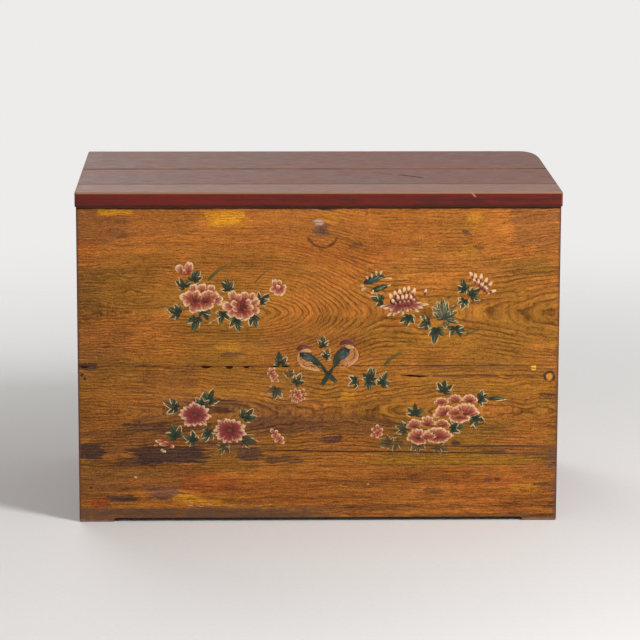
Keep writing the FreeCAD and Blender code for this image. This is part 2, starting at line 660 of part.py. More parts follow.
def main():
    os.makedirs("parts", exist_ok=True)
    for name, shape in build().items():
        shape.exportStep(f"parts/{name}.step")
        print(f"{name}: {len(shape.Solids)} solids, {shape.Volume / 1000:.1f} cm3, valid {shape.isValid()}")


main()
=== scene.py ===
"""Looks of a painted plank trunk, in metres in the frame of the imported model.

The front faces -Y and carries worn ochre paint with painted flowers, leaves and two birds. The lid and
the sides are dark red lacquer, and the wood that nobody painted is bare and old.
"""
import math

import bpy
import numpy as np
from mathutils import Matrix, Vector


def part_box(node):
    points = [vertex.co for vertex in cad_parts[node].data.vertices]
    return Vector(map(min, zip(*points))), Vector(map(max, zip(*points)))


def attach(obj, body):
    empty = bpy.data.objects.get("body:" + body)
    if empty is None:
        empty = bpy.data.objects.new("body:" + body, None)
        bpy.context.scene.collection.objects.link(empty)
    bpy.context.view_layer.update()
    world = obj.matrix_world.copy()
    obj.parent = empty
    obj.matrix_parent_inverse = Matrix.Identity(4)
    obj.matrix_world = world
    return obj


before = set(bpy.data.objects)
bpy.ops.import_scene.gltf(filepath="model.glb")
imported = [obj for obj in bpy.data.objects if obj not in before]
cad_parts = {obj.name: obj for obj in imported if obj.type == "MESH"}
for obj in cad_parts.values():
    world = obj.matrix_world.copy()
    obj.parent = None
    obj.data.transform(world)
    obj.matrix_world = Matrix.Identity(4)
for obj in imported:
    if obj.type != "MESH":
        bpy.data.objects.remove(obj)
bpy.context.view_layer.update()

MM = 0.001
rng = np.random.default_rng(11)

FRONT_LOW, FRONT_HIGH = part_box("front_board_upper")
FRONT_FACE = FRONT_LOW.y
BODY_HALF = FRONT_HIGH.x
BODY_TOP = FRONT_HIGH.z
UPPER_SEAM = FRONT_LOW.z
LOWER_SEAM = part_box("front_board_middle")[0].z
LID_LOW = np.min([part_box("lid_board_" + name)[0] for name in ("front", "middle", "rear")], axis=0)
LID_HIGH = np.max([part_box("lid_board_" + name)[1] for name in ("front", "middle", "rear")], axis=0)
LID_FRONT_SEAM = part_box("lid_board_front")[1].y
LID_REAR_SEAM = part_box("lid_board_middle")[1].y

# Long cracks in the middle front board, as start and end (x, z) in mm.
CRACKS = (
    ((-131.0, 150.5), (480.0, 139.5)),
    ((-262.0, 166.0), (-90.0, 161.0)),
    ((168.0, 159.0), (480.0, 156.0)),
    ((170.0, 306.0), (226.0, 304.0)),
    ((233.0, 304.5), (458.0, 303.0)),
)


class Value:
    """A node's result that can be reckoned with: each sum places one more node in the same tree."""

    def __init__(self, socket):
        self.socket = socket
        self.tree = socket.id_data

    def __add__(self, other):
        return reckon("ADD", self, other)

    def __sub__(self, other):
        return reckon("SUBTRACT", self, other)

    def __rsub__(self, other):
        return reckon("SUBTRACT", other, self)

    def __mul__(self, other):
        return reckon("MULTIPLY", self, other)

    def __truediv__(self, other):
        return reckon("DIVIDE", self, other)

    def __pow__(self, other):
        return reckon("POWER", self, other)

    def __abs__(self):
        return reckon("ABSOLUTE", self)


def feed(socket, value):
    """Links a value to a socket, or sets a constant on it."""
    if isinstance(value, Value):
        value.tree.links.new(value.socket, socket)
    elif socket.type == "RGBA":
        socket.default_value = (*value, 1.0)
    else:
        socket.default_value = value


def put(kind, feeds, **settings):
    """A new node in the tree of the values that feed it."""
    tree = next(value.tree for value in feeds.values() if isinstance(value, Value))
    node = tree.nodes.new("ShaderNode" + kind)
    for name, setting in settings.items():
        setattr(node, name, setting)
    for socket, value in feeds.items():
        feed(node.inputs[socket], value)
    return node


def results(node):
    return {socket.name: Value(socket) for socket in node.outputs}


def reckon(operation, a, b=0.0):
    return Value(put("Math", {0: a, 1: b}, operation=operation).outputs[0])


def larger(a, b):
    return reckon("MAXIMUM", a, b)


def smaller(a, b):
    return reckon("MINIMUM", a, b)


def vector(operation, a, b=(0.0, 0.0, 0.0)):
    return results(put("VectorMath", {0: a, 1: b}, operation=operation))["Vector"]


def measure(operation, a, b=(0.0, 0.0, 0.0)):
    return results(put("VectorMath", {0: a, 1: b}, operation=operation))["Value"]


def split(place):
    return list(results(put("SeparateXYZ", {0: place})).values())


def join(x, y, z):
    return Value(put("CombineXYZ", {0: x, 1: y, 2: z}).outputs[0])


def rise(value, low, high):
    """Smooth step from 0 at low to 1 at high; it falls where low is above high."""
    return Value(put("MapRange", {0: value, 1: low, 2: high}, interpolation_type="SMOOTHSTEP").outputs[0])


def mix(share, a, b, blend="MIX"):
    return Value(put("Mix", {0: share, 6: a, 7: b}, data_type="RGBA", blend_type=blend).outputs[2])


def between(share, a, b):
    return Value(put("Mix", {0: share, 2: a, 3: b}, data_type="FLOAT").outputs[0])


def shade(colour, factor):
    """A colour made lighter or darker by a factor."""
    return vector("MULTIPLY", colour, join(factor, factor, factor))


def cloud(place, stretch, detail=2.0, roughness=0.5):
    """Noise from 0 to 1 with `stretch` waves a metre along each axis."""
    scaled = vector("MULTIPLY", place, stretch)
    feeds = {"Vector": scaled, "Scale": 1.0, "Detail": detail, "Roughness": roughness}
    return Value(put("TexNoise", feeds).outputs[0])


def wander(place, stretch, reach):
    """`place` pushed about by coloured noise, by up to half of `reach` each way."""
    scaled = vector("MULTIPLY", place, stretch)
    colour = Value(put("TexNoise", {"Vector": scaled, "Scale": 1.0, "Detail": 2.0}).outputs[1])
    push = vector("MULTIPLY", vector("SUBTRACT", colour, (0.5, 0.5, 0.5)), reach)
    return vector("ADD", place, push)


def use(group, feeds):
    return results(put("Group", feeds, node_tree=group))


def node_group(name, takes, gives, work):
    """A shader node group whose inside is filled in by work(inputs)."""
    tree = bpy.data.node_groups.new(name, "ShaderNodeTree")
    for socket, kind in takes.items():
        tree.interface.new_socket(socket, in_out="INPUT", socket_type="NodeSocket" + kind)
    for socket, kind in gives.items():
        tree.interface.new_socket(socket, in_out="OUTPUT", socket_type="NodeSocket" + kind)
    inlet = tree.nodes.new("NodeGroupInput")
    outlet = tree.nodes.new("NodeGroupOutput")
    for socket, result in work(results(inlet)).items():
        feed(outlet.inputs[socket], result)
    return tree


SURFACE = {"Colour": "Color", "Roughness": "Float", "Height": "Float"}
MASK = {"Mask": "Float"}
GRAIN_NEEDS = ("Along", "Across", "Deep", "Swell", "Ring Width", "Wave")
GRAIN_PARTS = ("Rings", "Streaks", "Pores", "Bands", "Drift")
# The power p of the rings' shape; 2 would make them ellipses.
RING_POWER = 1.7


def work_plank_grain(given):
    """Flat-sawn board: rings at (across^p + swell^p)^(1/p), waved by noise, with the late wood dark."""
    across = given["Across"]
    swell = given["Swell"]
    place = join(given["Along"], across, given["Deep"])
    broad = cloud(place, (8.0, 15.0, 5.0)) - 0.5
    close = cloud(place, (28.0, 70.0, 20.0)) - 0.5
    bend = broad + close * 0.34
    wide = abs(across) ** RING_POWER
    tall = abs(swell) ** RING_POWER
    radius = (wide + tall) ** (1.0 / RING_POWER)
    radius = radius + given["Wave"] * bend
    turn = reckon("FRACT", radius / given["Ring Width"])
    late = rise(turn, 0.48, 0.9) * rise(turn, 1.0, 0.95)
    patchy = rise(cloud(place, (9.0, 36.0, 7.0), 3.0), 0.32, 0.58)
    patchy = patchy * between(rise(abs(across), 0.18, 0.06), 0.4, 1.0)
    flow = join(given["Along"], radius, given["Deep"])
    return {
        "Rings": late * patchy,
        "Streaks": cloud(flow, (24.0, 290.0, 60.0), 3.0, 0.72),
        "Pores": rise(cloud(flow, (100.0, 520.0, 80.0), 3.0, 0.7), 0.47, 0.64),
        "Bands": cloud(flow, (3.0, 75.0, 20.0), 3.0, 0.6),
        "Drift": cloud(place, (2.8, 10.0, 3.0), 4.0, 0.6),
    }


PLANK_GRAIN = node_group(
    "Plank grain", dict.fromkeys(GRAIN_NEEDS, "Float"), dict.fromkeys(GRAIN_PARTS, "Float"), work_plank_grain)


def plank_grain(along, across, deep, swell, ring_width, wave):
    feeds = (along, across, deep, swell, ring_width, wave)
    return use(PLANK_GRAIN, dict(zip(GRAIN_NEEDS, feeds)))


def work_worn_patch(given):
    """Blunt ellipse (x^4 + z^4)^(1/4) about a centre: full inside 0.75, gone at 1.1, with a feather added."""
    offset = vector("DIVIDE", vector("SUBTRACT", given["Place"], given["Centre"]), given["Reach"])
    squares = measure("LENGTH", vector("MULTIPLY", offset, offset))
    distance = squares ** 0.5 + given["Feather"]
    return {"Mask": rise(distance, 1.1, 0.75)}


WORN_PATCH = node_group(
    "Worn patch",
    {"Place": "Vector", "Centre": "Vector", "Reach": "Vector", "Feather": "Float"},
    MASK,
    work_worn_patch,
)


def work_scratch(given):
    """Distance to the straight run from a start; the mask is 1 on the run and 0 at the width."""
    offset = vector("SUBTRACT", given["Place"], given["Start"])
    share = measure("DOT_PRODUCT", offset, given["Share"])
    share = smaller(larger(share, 0.0), 1.0)
    nearest = vector("MULTIPLY", given["Run"], join(share, share, share))
    distance = measure("LENGTH", vector("SUBTRACT", offset, nearest))
    return {"Mask": rise(distance, given["Width"], 0.0)}


SCRATCH = node_group(
    "Scratch",
    {"Place": "Vector", "Start": "Vector", "Run": "Vector", "Share": "Vector", "Width": "Float"},
    MASK,
    work_scratch,
)


def scratch(place, start, end, width):
    """Mask of a straight scratch from start to end, both in the units of `place`."""
    run = np.subtract(end, start)
    feeds = {"Place": place, "Start": start, "Run": run, "Share": run / run.dot(run), "Width": width}
    return use(SCRATCH, feeds)["Mask"]


def work_box_arris(given):
    """Nearness to the edges of a box: the second smallest distance to its faces, broken up by noise."""
    place = given["Place"]
    inside = vector("MINIMUM", vector("SUBTRACT", place, given["Low"]),
                    vector("SUBTRACT", given["High"], place))
    a, b, c = split(inside)
    middle = larger(smaller(a, b), smaller(larger(a, b), c))
    rough = cloud(place, (38.0, 38.0, 70.0), 4.0, 0.62) - 0.5
    worn = middle + rough * given["Break"]
    return {"Mask": rise(worn, given["Width"], 0.0)}


BOX_ARRIS = node_group(
    "Box arris",
    {"Place": "Vector", "Low": "Vector", "High": "Vector", "Width": "Float", "Break": "Float"},
    MASK,
    work_box_arris,
)

OCHRE_WARM = (0.440, 0.142, 0.020)
OCHRE_OLIVE = (0.300, 0.121, 0.014)
OCHRE_ORANGE = (0.350, 0.094, 0.013)
RING_SHADE = (0.42, 0.36, 0.30)
PORE_SHADE = (0.36, 0.30, 0.26)
FOOT_PALE = (0.270, 0.150, 0.105)
SPECK_BROWN = (0.050, 0.024, 0.012)
SEAM_DIRT = (0.028, 0.014, 0.008)
# Near-black of the painted shade: the lid's shadow along the top of the front, and the lid's lower edge.
LID_SHADE = (0.022, 0.005, 0.002)
KNOT_ORANGE = (0.66, 0.25, 0.03)
WEAR_COLOURS = {
    "gold": (0.920, 0.460, 0.026),
    "yellow": (0.600, 0.245, 0.014),
    "olive": (0.230, 0.105, 0.016),
    "lime": (0.330, 0.150, 0.012),
    "rust": (0.340, 0.072, 0.012),
    "umber": (0.125, 0.052, 0.022),
    "char": (0.058, 0.030, 0.025),
    "drab": (0.115, 0.058, 0.034),
    "mauve": (0.185, 0.078, 0.045),
    "chalk": (0.620, 0.460, 0.360),
}

# Worn, faded and stained places on the front: (kind, x, z, half length, half height, strength) in mm.
WORN_PLACES = (
    ("umber", -445, 618, 64, 40, 0.50), ("umber", -330, 620, 90, 40, 0.20),
    ("umber", 440, 612, 56, 46, 0.46), ("umber", -40, 625, 110, 34, 0.18),
    ("umber", -430, 90, 70, 40, 0.20), ("umber", -300, 92, 80, 26, 0.35),
    ("yellow", -188, 628, 42, 16, 0.95), ("yellow", -411, 643, 34, 7, 0.90),
    ("yellow", 315, 632, 16, 11, 0.55), ("yellow", -185, 368, 26, 14, 0.40),
    ("gold", 439, 321, 5.5, 6, 1.00), ("yellow", 300, 560, 24, 16, 0.35),
    ("rust", 60, 560, 120, 26, 0.25), ("olive", 410, 530, 66, 16, 0.45),
    ("yellow", 205, 374, 110, 24, 0.20), ("yellow", 59, 262, 15, 12, 0.50),
    ("yellow", 400, 288, 80, 24, 0.18), ("char", -370, 128, 50, 11, 0.60),
    ("rust", -465, 560, 20, 34, 0.22), ("umber", -440, 365, 64, 40, 0.26),
    ("umber", -310, 290, 70, 36, 0.30), ("umber", -60, 288, 66, 30, 0.18),
    ("olive", 250, 542, 120, 34, 0.36), ("olive", 330, 190, 60, 40, 0.34),
    ("umber", 445, 128, 56, 36, 0.26), ("umber", -300, 222, 74, 40, 0.25),
    ("umber", -180, 212, 170, 46, 0.36), ("umber", -60, 220, 76, 40, 0.34),
    ("olive", -185, 125, 70, 26, 0.55), ("char", -120, 205, 28, 14, 0.45),
    ("yellow", 24, 630, 20, 13, 0.35), ("umber", -470, 470, 30, 60, 0.22),
    ("umber", 299, 600, 9, 7, 0.75), ("umber", 322, 569, 8, 4, 0.65),
    ("umber", 73, 573, 13, 5, 0.55), ("umber", -175, 352, 24, 6, 0.60),
    ("umber", 320, 322, 170, 7, 0.30), ("umber", -30, 380, 130, 14, 0.22),
    ("char", -470, 326, 20, 7, 0.80), ("char", -310, 143, 84, 20, 0.92),
    ("char", -466, 148, 30, 21, 0.92), ("char", -349, 200, 48, 11, 0.65),
    ("char", -140, 141, 26, 16, 0.72), ("char", -70, 129, 46, 8, 0.60),
    ("char", -200, 160, 70, 10, 0.55), ("char", -215, 243, 64, 15, 0.52),
    ("umber", -60, 205, 60, 22, 0.40), ("umber", -380, 168, 120, 28, 0.45),
    ("umber", 60, 205, 110, 22, 0.48), ("char", 28, 171, 26, 9, 0.75),
    ("char", 286, 162, 9, 6, 0.85), ("char", 360, 146, 36, 5, 0.60),
    ("char", 470, 262, 20, 5, 0.45), ("lime", 290, 129, 190, 15, 0.75),
    ("umber", -440, 86, 60, 36, 0.35), ("olive", -400, 104, 90, 12, 0.50),
    ("umber", -215, 15, 240, 14, 0.60), ("umber", 120, 20, 90, 12, 0.30),
    ("umber", 60, 30, 260, 5, 0.22), ("umber", 330, 10, 170, 8, 0.50),
    ("mauve", -315, 60, 42, 12, 0.88), ("char", -405, 49, 34, 6, 0.75),
    ("rust", -225, 78, 60, 26, 0.55), ("rust", -80, 60, 120, 30, 0.30),
    ("yellow", -270, 51, 28, 9, 0.85), ("yellow", -238, 42, 42, 5, 0.70),
    ("yellow", -206, 35, 50, 3, 0.60), ("rust", -448, 36, 24, 12, 0.85),
    ("rust", 340, 82, 70, 14, 0.35), ("yellow", 420, 70, 30, 8, 0.40),
    ("char", 462, 76, 25, 3, 0.60), ("char", 346, 86, 9, 5, 0.65),
    ("char", 368, 86, 8, 5, 0.65), ("umber", 236, 64, 26, 7, 0.55),
    ("mauve", 484, 130, 14, 22, 0.80), ("mauve", 486, 60, 8, 40, 0.45),
    ("chalk", -374, 94.5, 3, 2, 0.90), ("chalk", 102, 78, 2.6, 2, 0.95),
    ("chalk", 46, 76, 1.8, 1.5, 0.80), ("chalk", -262, 34, 5.9, 0.9, 0.70),
    ("chalk", -240, 32, 5.5, 0.8, 0.60), ("chalk", -222, 36, 4, 0.8, 0.60),
    ("chalk", -176, 35, 5.9, 0.9, 0.65), ("chalk", -156, 37, 4, 0.8, 0.60),
    ("chalk", -118, 33, 5, 0.8, 0.55), ("chalk", -98, 36, 3, 0.8, 0.55),
    ("char", -481, 308, 3.5, 3.5, 1.00), ("char", -475.5, 300, 3, 3, 1.00),
    ("char", -466, 72.5, 3, 3, 1.00), ("mauve", 5, 609, 17, 16, 0.75),
    ("chalk", -1, 621, 10, 7, 0.50), ("umber", 6, 607, 6, 8, 0.75),
    ("char", 4, 650, 24, 4, 0.85),
)

# Heights of the three front boards' hearts, in m, and the places of the lock's mark and the knot, in mm.
UPPER_HEART = 0.4376
MIDDLE_HEART = 0.232
LOWER_HEART = -0.09
LOCK_CENTRE = (7.5, 0.0, 602.0)
LOCK_RADIUS = 31.0
KNOT_CENTRE = (471.6, 0.0, 302.5)


def front_grain(x, y, z):
    """Grain of the three front boards, each with its own heart; the upper one has a tall arch of rings."""
    climb = rise(x, -0.13, 0.14) * 0.09
    fall = rise(x, 0.26, 0.56) * -0.022
    upper_swell = climb + fall + 0.012
    middle_swell = rise(x, -0.55, 0.1) * 0.05 + rise(x, 0.0, 0.36) * -0.03
    upper_wave = rise(x, -0.16, -0.38) * 0.02 + 0.011
    boards = []
    for heart, swell, ring, wave in ((UPPER_HEART, upper_swell, 0.0058, upper_wave),
                                     (MIDDLE_HEART, middle_swell, 0.0062, 0.020),
                                     (LOWER_HEART, 0.02, 0.0090, 0.014)):
        boards.append(plank_grain(x, z - heart, y, swell, ring, wave))
    in_upper = rise(z, UPPER_SEAM - 0.1 * MM, UPPER_SEAM + 0.1 * MM)
    in_lower = rise(z, LOWER_SEAM + 0.1 * MM, LOWER_SEAM - 0.1 * MM)
    grain = {}
    for key in GRAIN_PARTS:
        low = between(in_lower, boards[1][key], boards[2][key])
        grain[key] = between(in_upper, low, boards[0][key])
    return grain, in_lower


def work_ochre_front(given):
    """Old ochre paint over the grain, worn and stained, with dirty seams and cracks and the lock's mark."""
    place = given["Place"]
    x, y, z = split(place)
    grain, in_lower = front_grain(x, y, z)
    streak = grain["Streaks"] - 0.5
    drift = grain["Drift"] - 0.5
    hue = cloud(place, (4.2, 5.0, 9.5), 5.0, 0.62)
    hue = hue + rise(z, 0.48, 0.6) * 0.09
    hue = hue - rise(x, 0.0, 0.25) * rise(z, 0.58, 0.48) * 0.07
    colour = mix(rise(hue, 0.36, 0.62), OCHRE_OLIVE, OCHRE_WARM)
    colour = mix(in_lower * 0.5, colour, OCHRE_ORANGE)
    middling = rise(z, UPPER_SEAM + 80.0 * MM, UPPER_SEAM) * rise(x, 0.42, -0.1)
    colour = mix(middling * 0.35, colour, OCHRE_OLIVE)

    sizes = vector("MULTIPLY", place, (1.0 / MM, 0.0, 1.0 / MM))
    ragged = wander(sizes, (0.03, 0.0, 0.075), (30.0, 0.0, 13.0))
    ragged = wander(ragged, (0.15, 0.0, 0.32), (9.0, 0.0, 4.0))
    band = grain["Bands"] - 0.5
    feather = band * 1.4 + streak * 1.0
    wear = 0.0
    for kind, at_x, at_z, half_x, half_z, strength in WORN_PLACES:
        small = half_x < 6
        feeds = {"Place": sizes if small else ragged, "Centre": (at_x, 0.0, at_z),
                 "Reach": (half_x, 1.0, half_z), "Feather": 0.0 if small else feather}
        share = use(WORN_PATCH, feeds)["Mask"] * strength
        colour = mix(share, colour, WEAR_COLOURS[kind])
        if half_x > 30:
            wear = larger(share, wear)

    # Darker towards the left edge: painted shade of light falling from the right. Also darker low down and at
    # the lower right.
    left = rise(x, -0.18, -0.49) * 0.2
    low = rise(z, 0.36, 0.14) * 0.15
    right = rise(x, 0.34, 0.49) * rise(z, 0.22, 0.1) * 0.18
    left_shade_and_low_dimming = left + (low + right)
    grit = cloud(place, (360.0, 60.0, 600.0), 2.0) - 0.5
    tone = streak * between(in_lower, 1.9, 2.6) + drift * 1.4
    tone = tone + band * between(in_lower, 0.6, 1.5)
    tone = tone + grit * 2.2
    colour = shade(colour, larger(tone + 1.18 - left_shade_and_low_dimming, 0.32))
    ring_share = grain["Rings"] * between(in_lower, 0.92, 0.5)
    colour = mix(ring_share, colour, RING_SHADE, "MULTIPLY")
    colour = mix(grain["Pores"] * 0.66, colour, PORE_SHADE, "MULTIPLY")
    speck = rise(cloud(place, (230.0, 60.0, 480.0), 3.0, 0.6), 0.62, 0.74)
    colour = mix(speck * 0.65, colour, SPECK_BROWN)
    fleck = rise(cloud(place, (110.0, 60.0, 520.0), 3.0, 0.6), 0.36, 0.26)
    colour = mix(fleck * 0.45, colour, WEAR_COLOURS["yellow"])

    broken = cloud(place, (42.0, 10.0, 42.0), 3.0)
    for start, end in CRACKS:
        dirt = scratch(sizes, (start[0], 0.0, start[1]), (end[0], 0.0, end[1]), 4.5)
        colour = mix(dirt * rise(broken, 0.25, 0.6), colour, WEAR_COLOURS["umber"])
    for seam, width, strength in ((UPPER_SEAM, 2.4 * MM, 0.60), (LOWER_SEAM, 1.6 * MM, 0.50)):
        gap = abs(z - seam)
        line = rise(gap + (broken - 0.45) * (5.0 * MM), width, 0.0)
        colour = mix(line * strength, colour, SEAM_DIRT)

    near = wander(sizes, (0.11, 0.0, 0.11), (6.0, 0.0, 6.0))
    from_lock = measure("LENGTH", vector("SUBTRACT", near, LOCK_CENTRE))
    arc = rise(abs(from_lock - LOCK_RADIUS), 4.0, 1.2)
    arc = arc * rise(z, 0.598, 0.586)
    arc = arc * rise(broken + streak, 0.22, 0.48)
    colour = mix(arc * 0.8, colour, SPECK_BROWN)

    from_knot = measure("LENGTH", vector("SUBTRACT", near, KNOT_CENTRE))
    colour = mix(rise(from_knot, 9.0, 5.5) * 0.9, colour, KNOT_ORANGE)
    ring = rise(abs(from_knot - 9.6), 3.2, 1.2)
    ring = ring * rise(broken + streak * 0.5, 0.28, 0.42)
    colour = mix(ring * 0.95, colour, SPECK_BROWN)

    side = abs(x) + (broken - 0.5) * (12.0 * MM)
    ends = rise(side, BODY_HALF - 8.0 * MM, BODY_HALF - 0.5 * MM)
    colour = mix(ends * 0.75, colour, WEAR_COLOURS["umber"])
    foot = z + (broken - 0.5) * (14.0 * MM)
    colour = mix(rise(foot, 13.0 * MM, 3.0 * MM) * 0.7, colour, WEAR_COLOURS["umber"])

    strokes = rise(cloud(place, (80.0, 10.0, 20.0), 4.0, 0.65), 0.36, 0.64)
    strip = rise(foot, 34.0 * MM, 25.0 * MM) * rise(x, 0.08, -0.05)
    colour = mix(strip * between(strokes, 0.3, 0.92), colour, WEAR_COLOURS["drab"])
    # Painted shadow of the lid's overhang: a near-black band along the top of the front.
    top = z + (broken - 0.5) * (5.0 * MM)
    colour = mix(rise(top, BODY_TOP - 6.0 * MM, BODY_TOP - 2.5 * MM) * 0.95, colour, LID_SHADE)
    bare_foot = rise(foot, 7.0 * MM, 3.0 * MM) * rise(side, BODY_HALF - 74.0 * MM, BODY_HALF - 68.0 * MM)
    colour = mix(bare_foot * 0.7, colour, FOOT_PALE)

    roughness = drift * 0.25 + wear * 0.2 + 0.55
    height = streak * 0.35 + grain["Rings"] * -0.1
    height = height + grain["Pores"] * -0.14
    return {"Colour": colour, "Roughness": roughness, "Height": height - wear * 0.15}


OCHRE_FRONT = node_group("Ochre front", {"Place": "Vector"}, SURFACE, work_ochre_front)

WOOD_LIGHT = (0.400, 0.235, 0.118)
WOOD_DEEP = (0.190, 0.098, 0.045)
WOOD_GREY = (0.185, 0.132, 0.088)
WOOD_DARK = (0.060, 0.032, 0.016)
# How light a bare board is, by the last word of its name.
BOARD_TONES = {
    "upper": 1.06, "middle": 0.84, "lower": 0.96, "front": 0.90, "rear": 1.04, "left": 0.92, "right": 1.0,
}


def work_bare_wood(given):
    """Unpainted old wood: rings, bands and fine streaks along the board, greyed in patches, dark arrises."""
    along, across, deep = split(given["Grain"])
    grain = plank_grain(along, across, deep, along * 0.05 + 0.05, 0.0095, 0.022)
    tone = 0.52
    for key, share in (("Streaks", 0.9), ("Bands", 1.5), ("Drift", 0.9)):
        tone = (grain[key] - 0.5) * share + tone
    colour = mix(tone, WOOD_DEEP, WOOD_LIGHT)
    colour = mix(grain["Rings"] * 0.6, colour, RING_SHADE, "MULTIPLY")
    colour = mix(grain["Pores"] * 0.35, colour, PORE_SHADE, "MULTIPLY")
    stain = rise(cloud(given["Grain"], (2.4, 20.0, 8.0), 4.0, 0.62), 0.47, 0.7)
    colour = mix(stain * 0.6, colour, WOOD_GREY)
    speck = rise(cloud(given["Grain"], (190.0, 420.0, 300.0), 2.0), 0.68, 0.78)
    colour = mix(speck * 0.6, colour, SPECK_BROWN)
    colour = shade(colour, given["Tone"])
    colour = mix(given["Arris"] * 0.8, colour, WOOD_DARK)
    roughness = grain["Streaks"] * 0.25 + 0.6
    height = grain["Streaks"] * 0.45 + grain["Rings"] * -0.16
    return {"Colour": colour, "Roughness": roughness, "Height": height}


BARE_WOOD = node_group(
    "Bare wood", {"Grain": "Vector", "Arris": "Float", "Tone": "Float"}, SURFACE, work_bare_wood)

LACQUER_RED = (0.172, 0.010, 0.004)
LACQUER_DEEP = (0.054, 0.007, 0.004)
LACQUER_DULL = (0.225, 0.108, 0.062)
LACQUER_GREY = (0.118, 0.080, 0.064)
ARRIS_WOOD = (0.420, 0.205, 0.125)


def work_red_lacquer(given):
    """Dark red lacquer over open grain: streaked, dulled by dust in long patches, worn through at arrises."""
    along, across, deep = split(given["Grain"])
    grain = plank_grain(along, across, deep, along * 0.04 + 0.05, 0.0105, 0.01)
    tone = (grain["Streaks"] - 0.5) * 3.0 + grain["Drift"] * 1.2
    tone = (grain["Bands"] - 0.5) * 2.0 + tone
    colour = mix(tone, LACQUER_DEEP, LACQUER_RED)
    colour = mix(grain["Rings"] * 0.45, colour, LACQUER_DEEP)
    colour = mix(grain["Pores"] * 0.35, colour, LACQUER_DEEP)
    dull = rise(cloud(given["Grain"], (7.0, 70.0, 9.0), 5.0, 0.68), 0.34, 0.68)
    colour = mix(dull * given["Dust"] * 0.75, colour, LACQUER_DULL)
    grey = rise(cloud(given["Grain"], (4.5, 34.0, 6.0), 5.0, 0.66), 0.44, 0.7)
    colour = mix(grey * given["Dust"] * 0.7, colour, LACQUER_GREY)
    scuff = rise(cloud(given["Grain"], (34.0, 640.0, 60.0), 2.0), 0.66, 0.78)
    colour = mix(scuff * given["Dust"] * 0.4, colour, ARRIS_WOOD)
    pit = rise(cloud(given["Grain"], (220.0, 420.0, 60.0), 2.0), 0.69, 0.78)
    colour = mix(pit * 0.7, colour, LACQUER_DEEP)
    colour = mix(given["Arris"], colour, mix(grain["Streaks"], WOOD_DEEP, ARRIS_WOOD))
    matt = dull * 0.14 + rise(grain["Streaks"], 0.4, 0.62) * 0.22
    roughness = matt + given["Arris"] * 0.25 + 0.38
    height = grain["Streaks"] * 0.03 + pit * -0.08
    return {"Colour": colour, "Roughness": roughness, "Height": height}


RED_LACQUER = node_group(
    "Red lacquer", {"Grain": "Vector", "Arris": "Float", "Dust": "Float"}, SURFACE, work_red_lacquer)

# Specular levels: of the dull paint, the bare and side boards, the lid, iron and bamboo, and the floor.
PAINT_SHINE = 0.15
WOOD_SHINE = 0.3
LID_SHINE = 0.26
PLAIN_SHINE = 0.5
FLOOR_SHINE = 0.2


def finish(name, work, shine=PLAIN_SHINE):
    """A material whose colour, relief in mm, roughness and so on come from work(place)."""
    material = bpy.data.materials.new(name)
    material.use_nodes = True
    shader = material.node_tree.nodes["Principled BSDF"]
    shader.inputs["Specular IOR Level"].default_value = shine
    place = results(material.node_tree.nodes.new("ShaderNodeTexCoord"))["Object"]
    surface = work(place)
    bump = put("Bump", {"Strength": 1.0, "Distance": MM, "Height": surface.pop("Height")})
    feed(shader.inputs["Base Color"], surface.pop("Colour"))
    for socket, value in surface.items():
        feed(shader.inputs[socket], value)
    feed(shader.inputs["Normal"], Value(bump.outputs[0]))
    return material


def blend_surface(share, under, over):
    """One surface showing through another by a share."""
    return {
        "Colour": mix(share, under["Colour"], over["Colour"]),
        "Roughness": between(share, under["Roughness"], over["Roughness"]),
        "Height": between(share, under["Height"], over["Height"]),
    }


def turned(place, order, heart):
    """`place` with its axes put in the order along, across, deep, and measured from the board's heart."""
    axes = split(place)
    along, across, deep = (axes["XYZ".index(letter)] for letter in order)
    return join(along, across - heart, deep)


def arris_of(place, low, high, width, broken):
    feeds = {"Place": place, "Low": tuple(low), "High": tuple(high), "Width": width, "Break": broken}
    return use(BOX_ARRIS, feeds)["Mask"]


SEAM_WOOD = (0.260, 0.080, 0.028)
CLEFT_BROWN = (0.020, 0.010, 0.006)
LID_PALE = (0.330, 0.200, 0.142)
SIDE_DUST = 0.2
# How far from a board's edges its arris wear reaches, and how ragged that is.
ARRIS_WIDTH = 3.0 * MM
ARRIS_BREAK = 4.0 * MM


def work_painted_board(place):
    """Ochre on the front face, dark clefts, bare wood behind and on top, lacquer brought round the ends."""
    x, y, z = split(place)
    depth = (y - FRONT_FACE) / MM
    ochre = use(OCHRE_FRONT, {"Place": place})
    wood = use(BARE_WOOD, {"Grain": turned(place, "XZY", 0.3), "Arris": 0.0, "Tone": 1.0})
    lacquer = use(RED_LACQUER, {"Grain": turned(place, "ZYX", FRONT_FACE), "Arris": 0.0, "Dust": SIDE_DUST})
    face = {**ochre, "Colour": mix(rise(depth, 0.5, 1.8), ochre["Colour"], CLEFT_BROWN)}
    face = blend_surface(rise(depth, 9.0, 11.0), face, wood)
    face = blend_surface(rise(z, BODY_TOP - 0.5 * MM, BODY_TOP - 0.2 * MM), face, wood)
    uneven = (cloud(place, (30.0, 30.0, 60.0), 3.0) - 0.5) * (2.4 * MM)
    end = abs(x) + uneven
    return blend_surface(rise(end, BODY_HALF - 2.2 * MM, BODY_HALF - 1.2 * MM), face, lacquer)


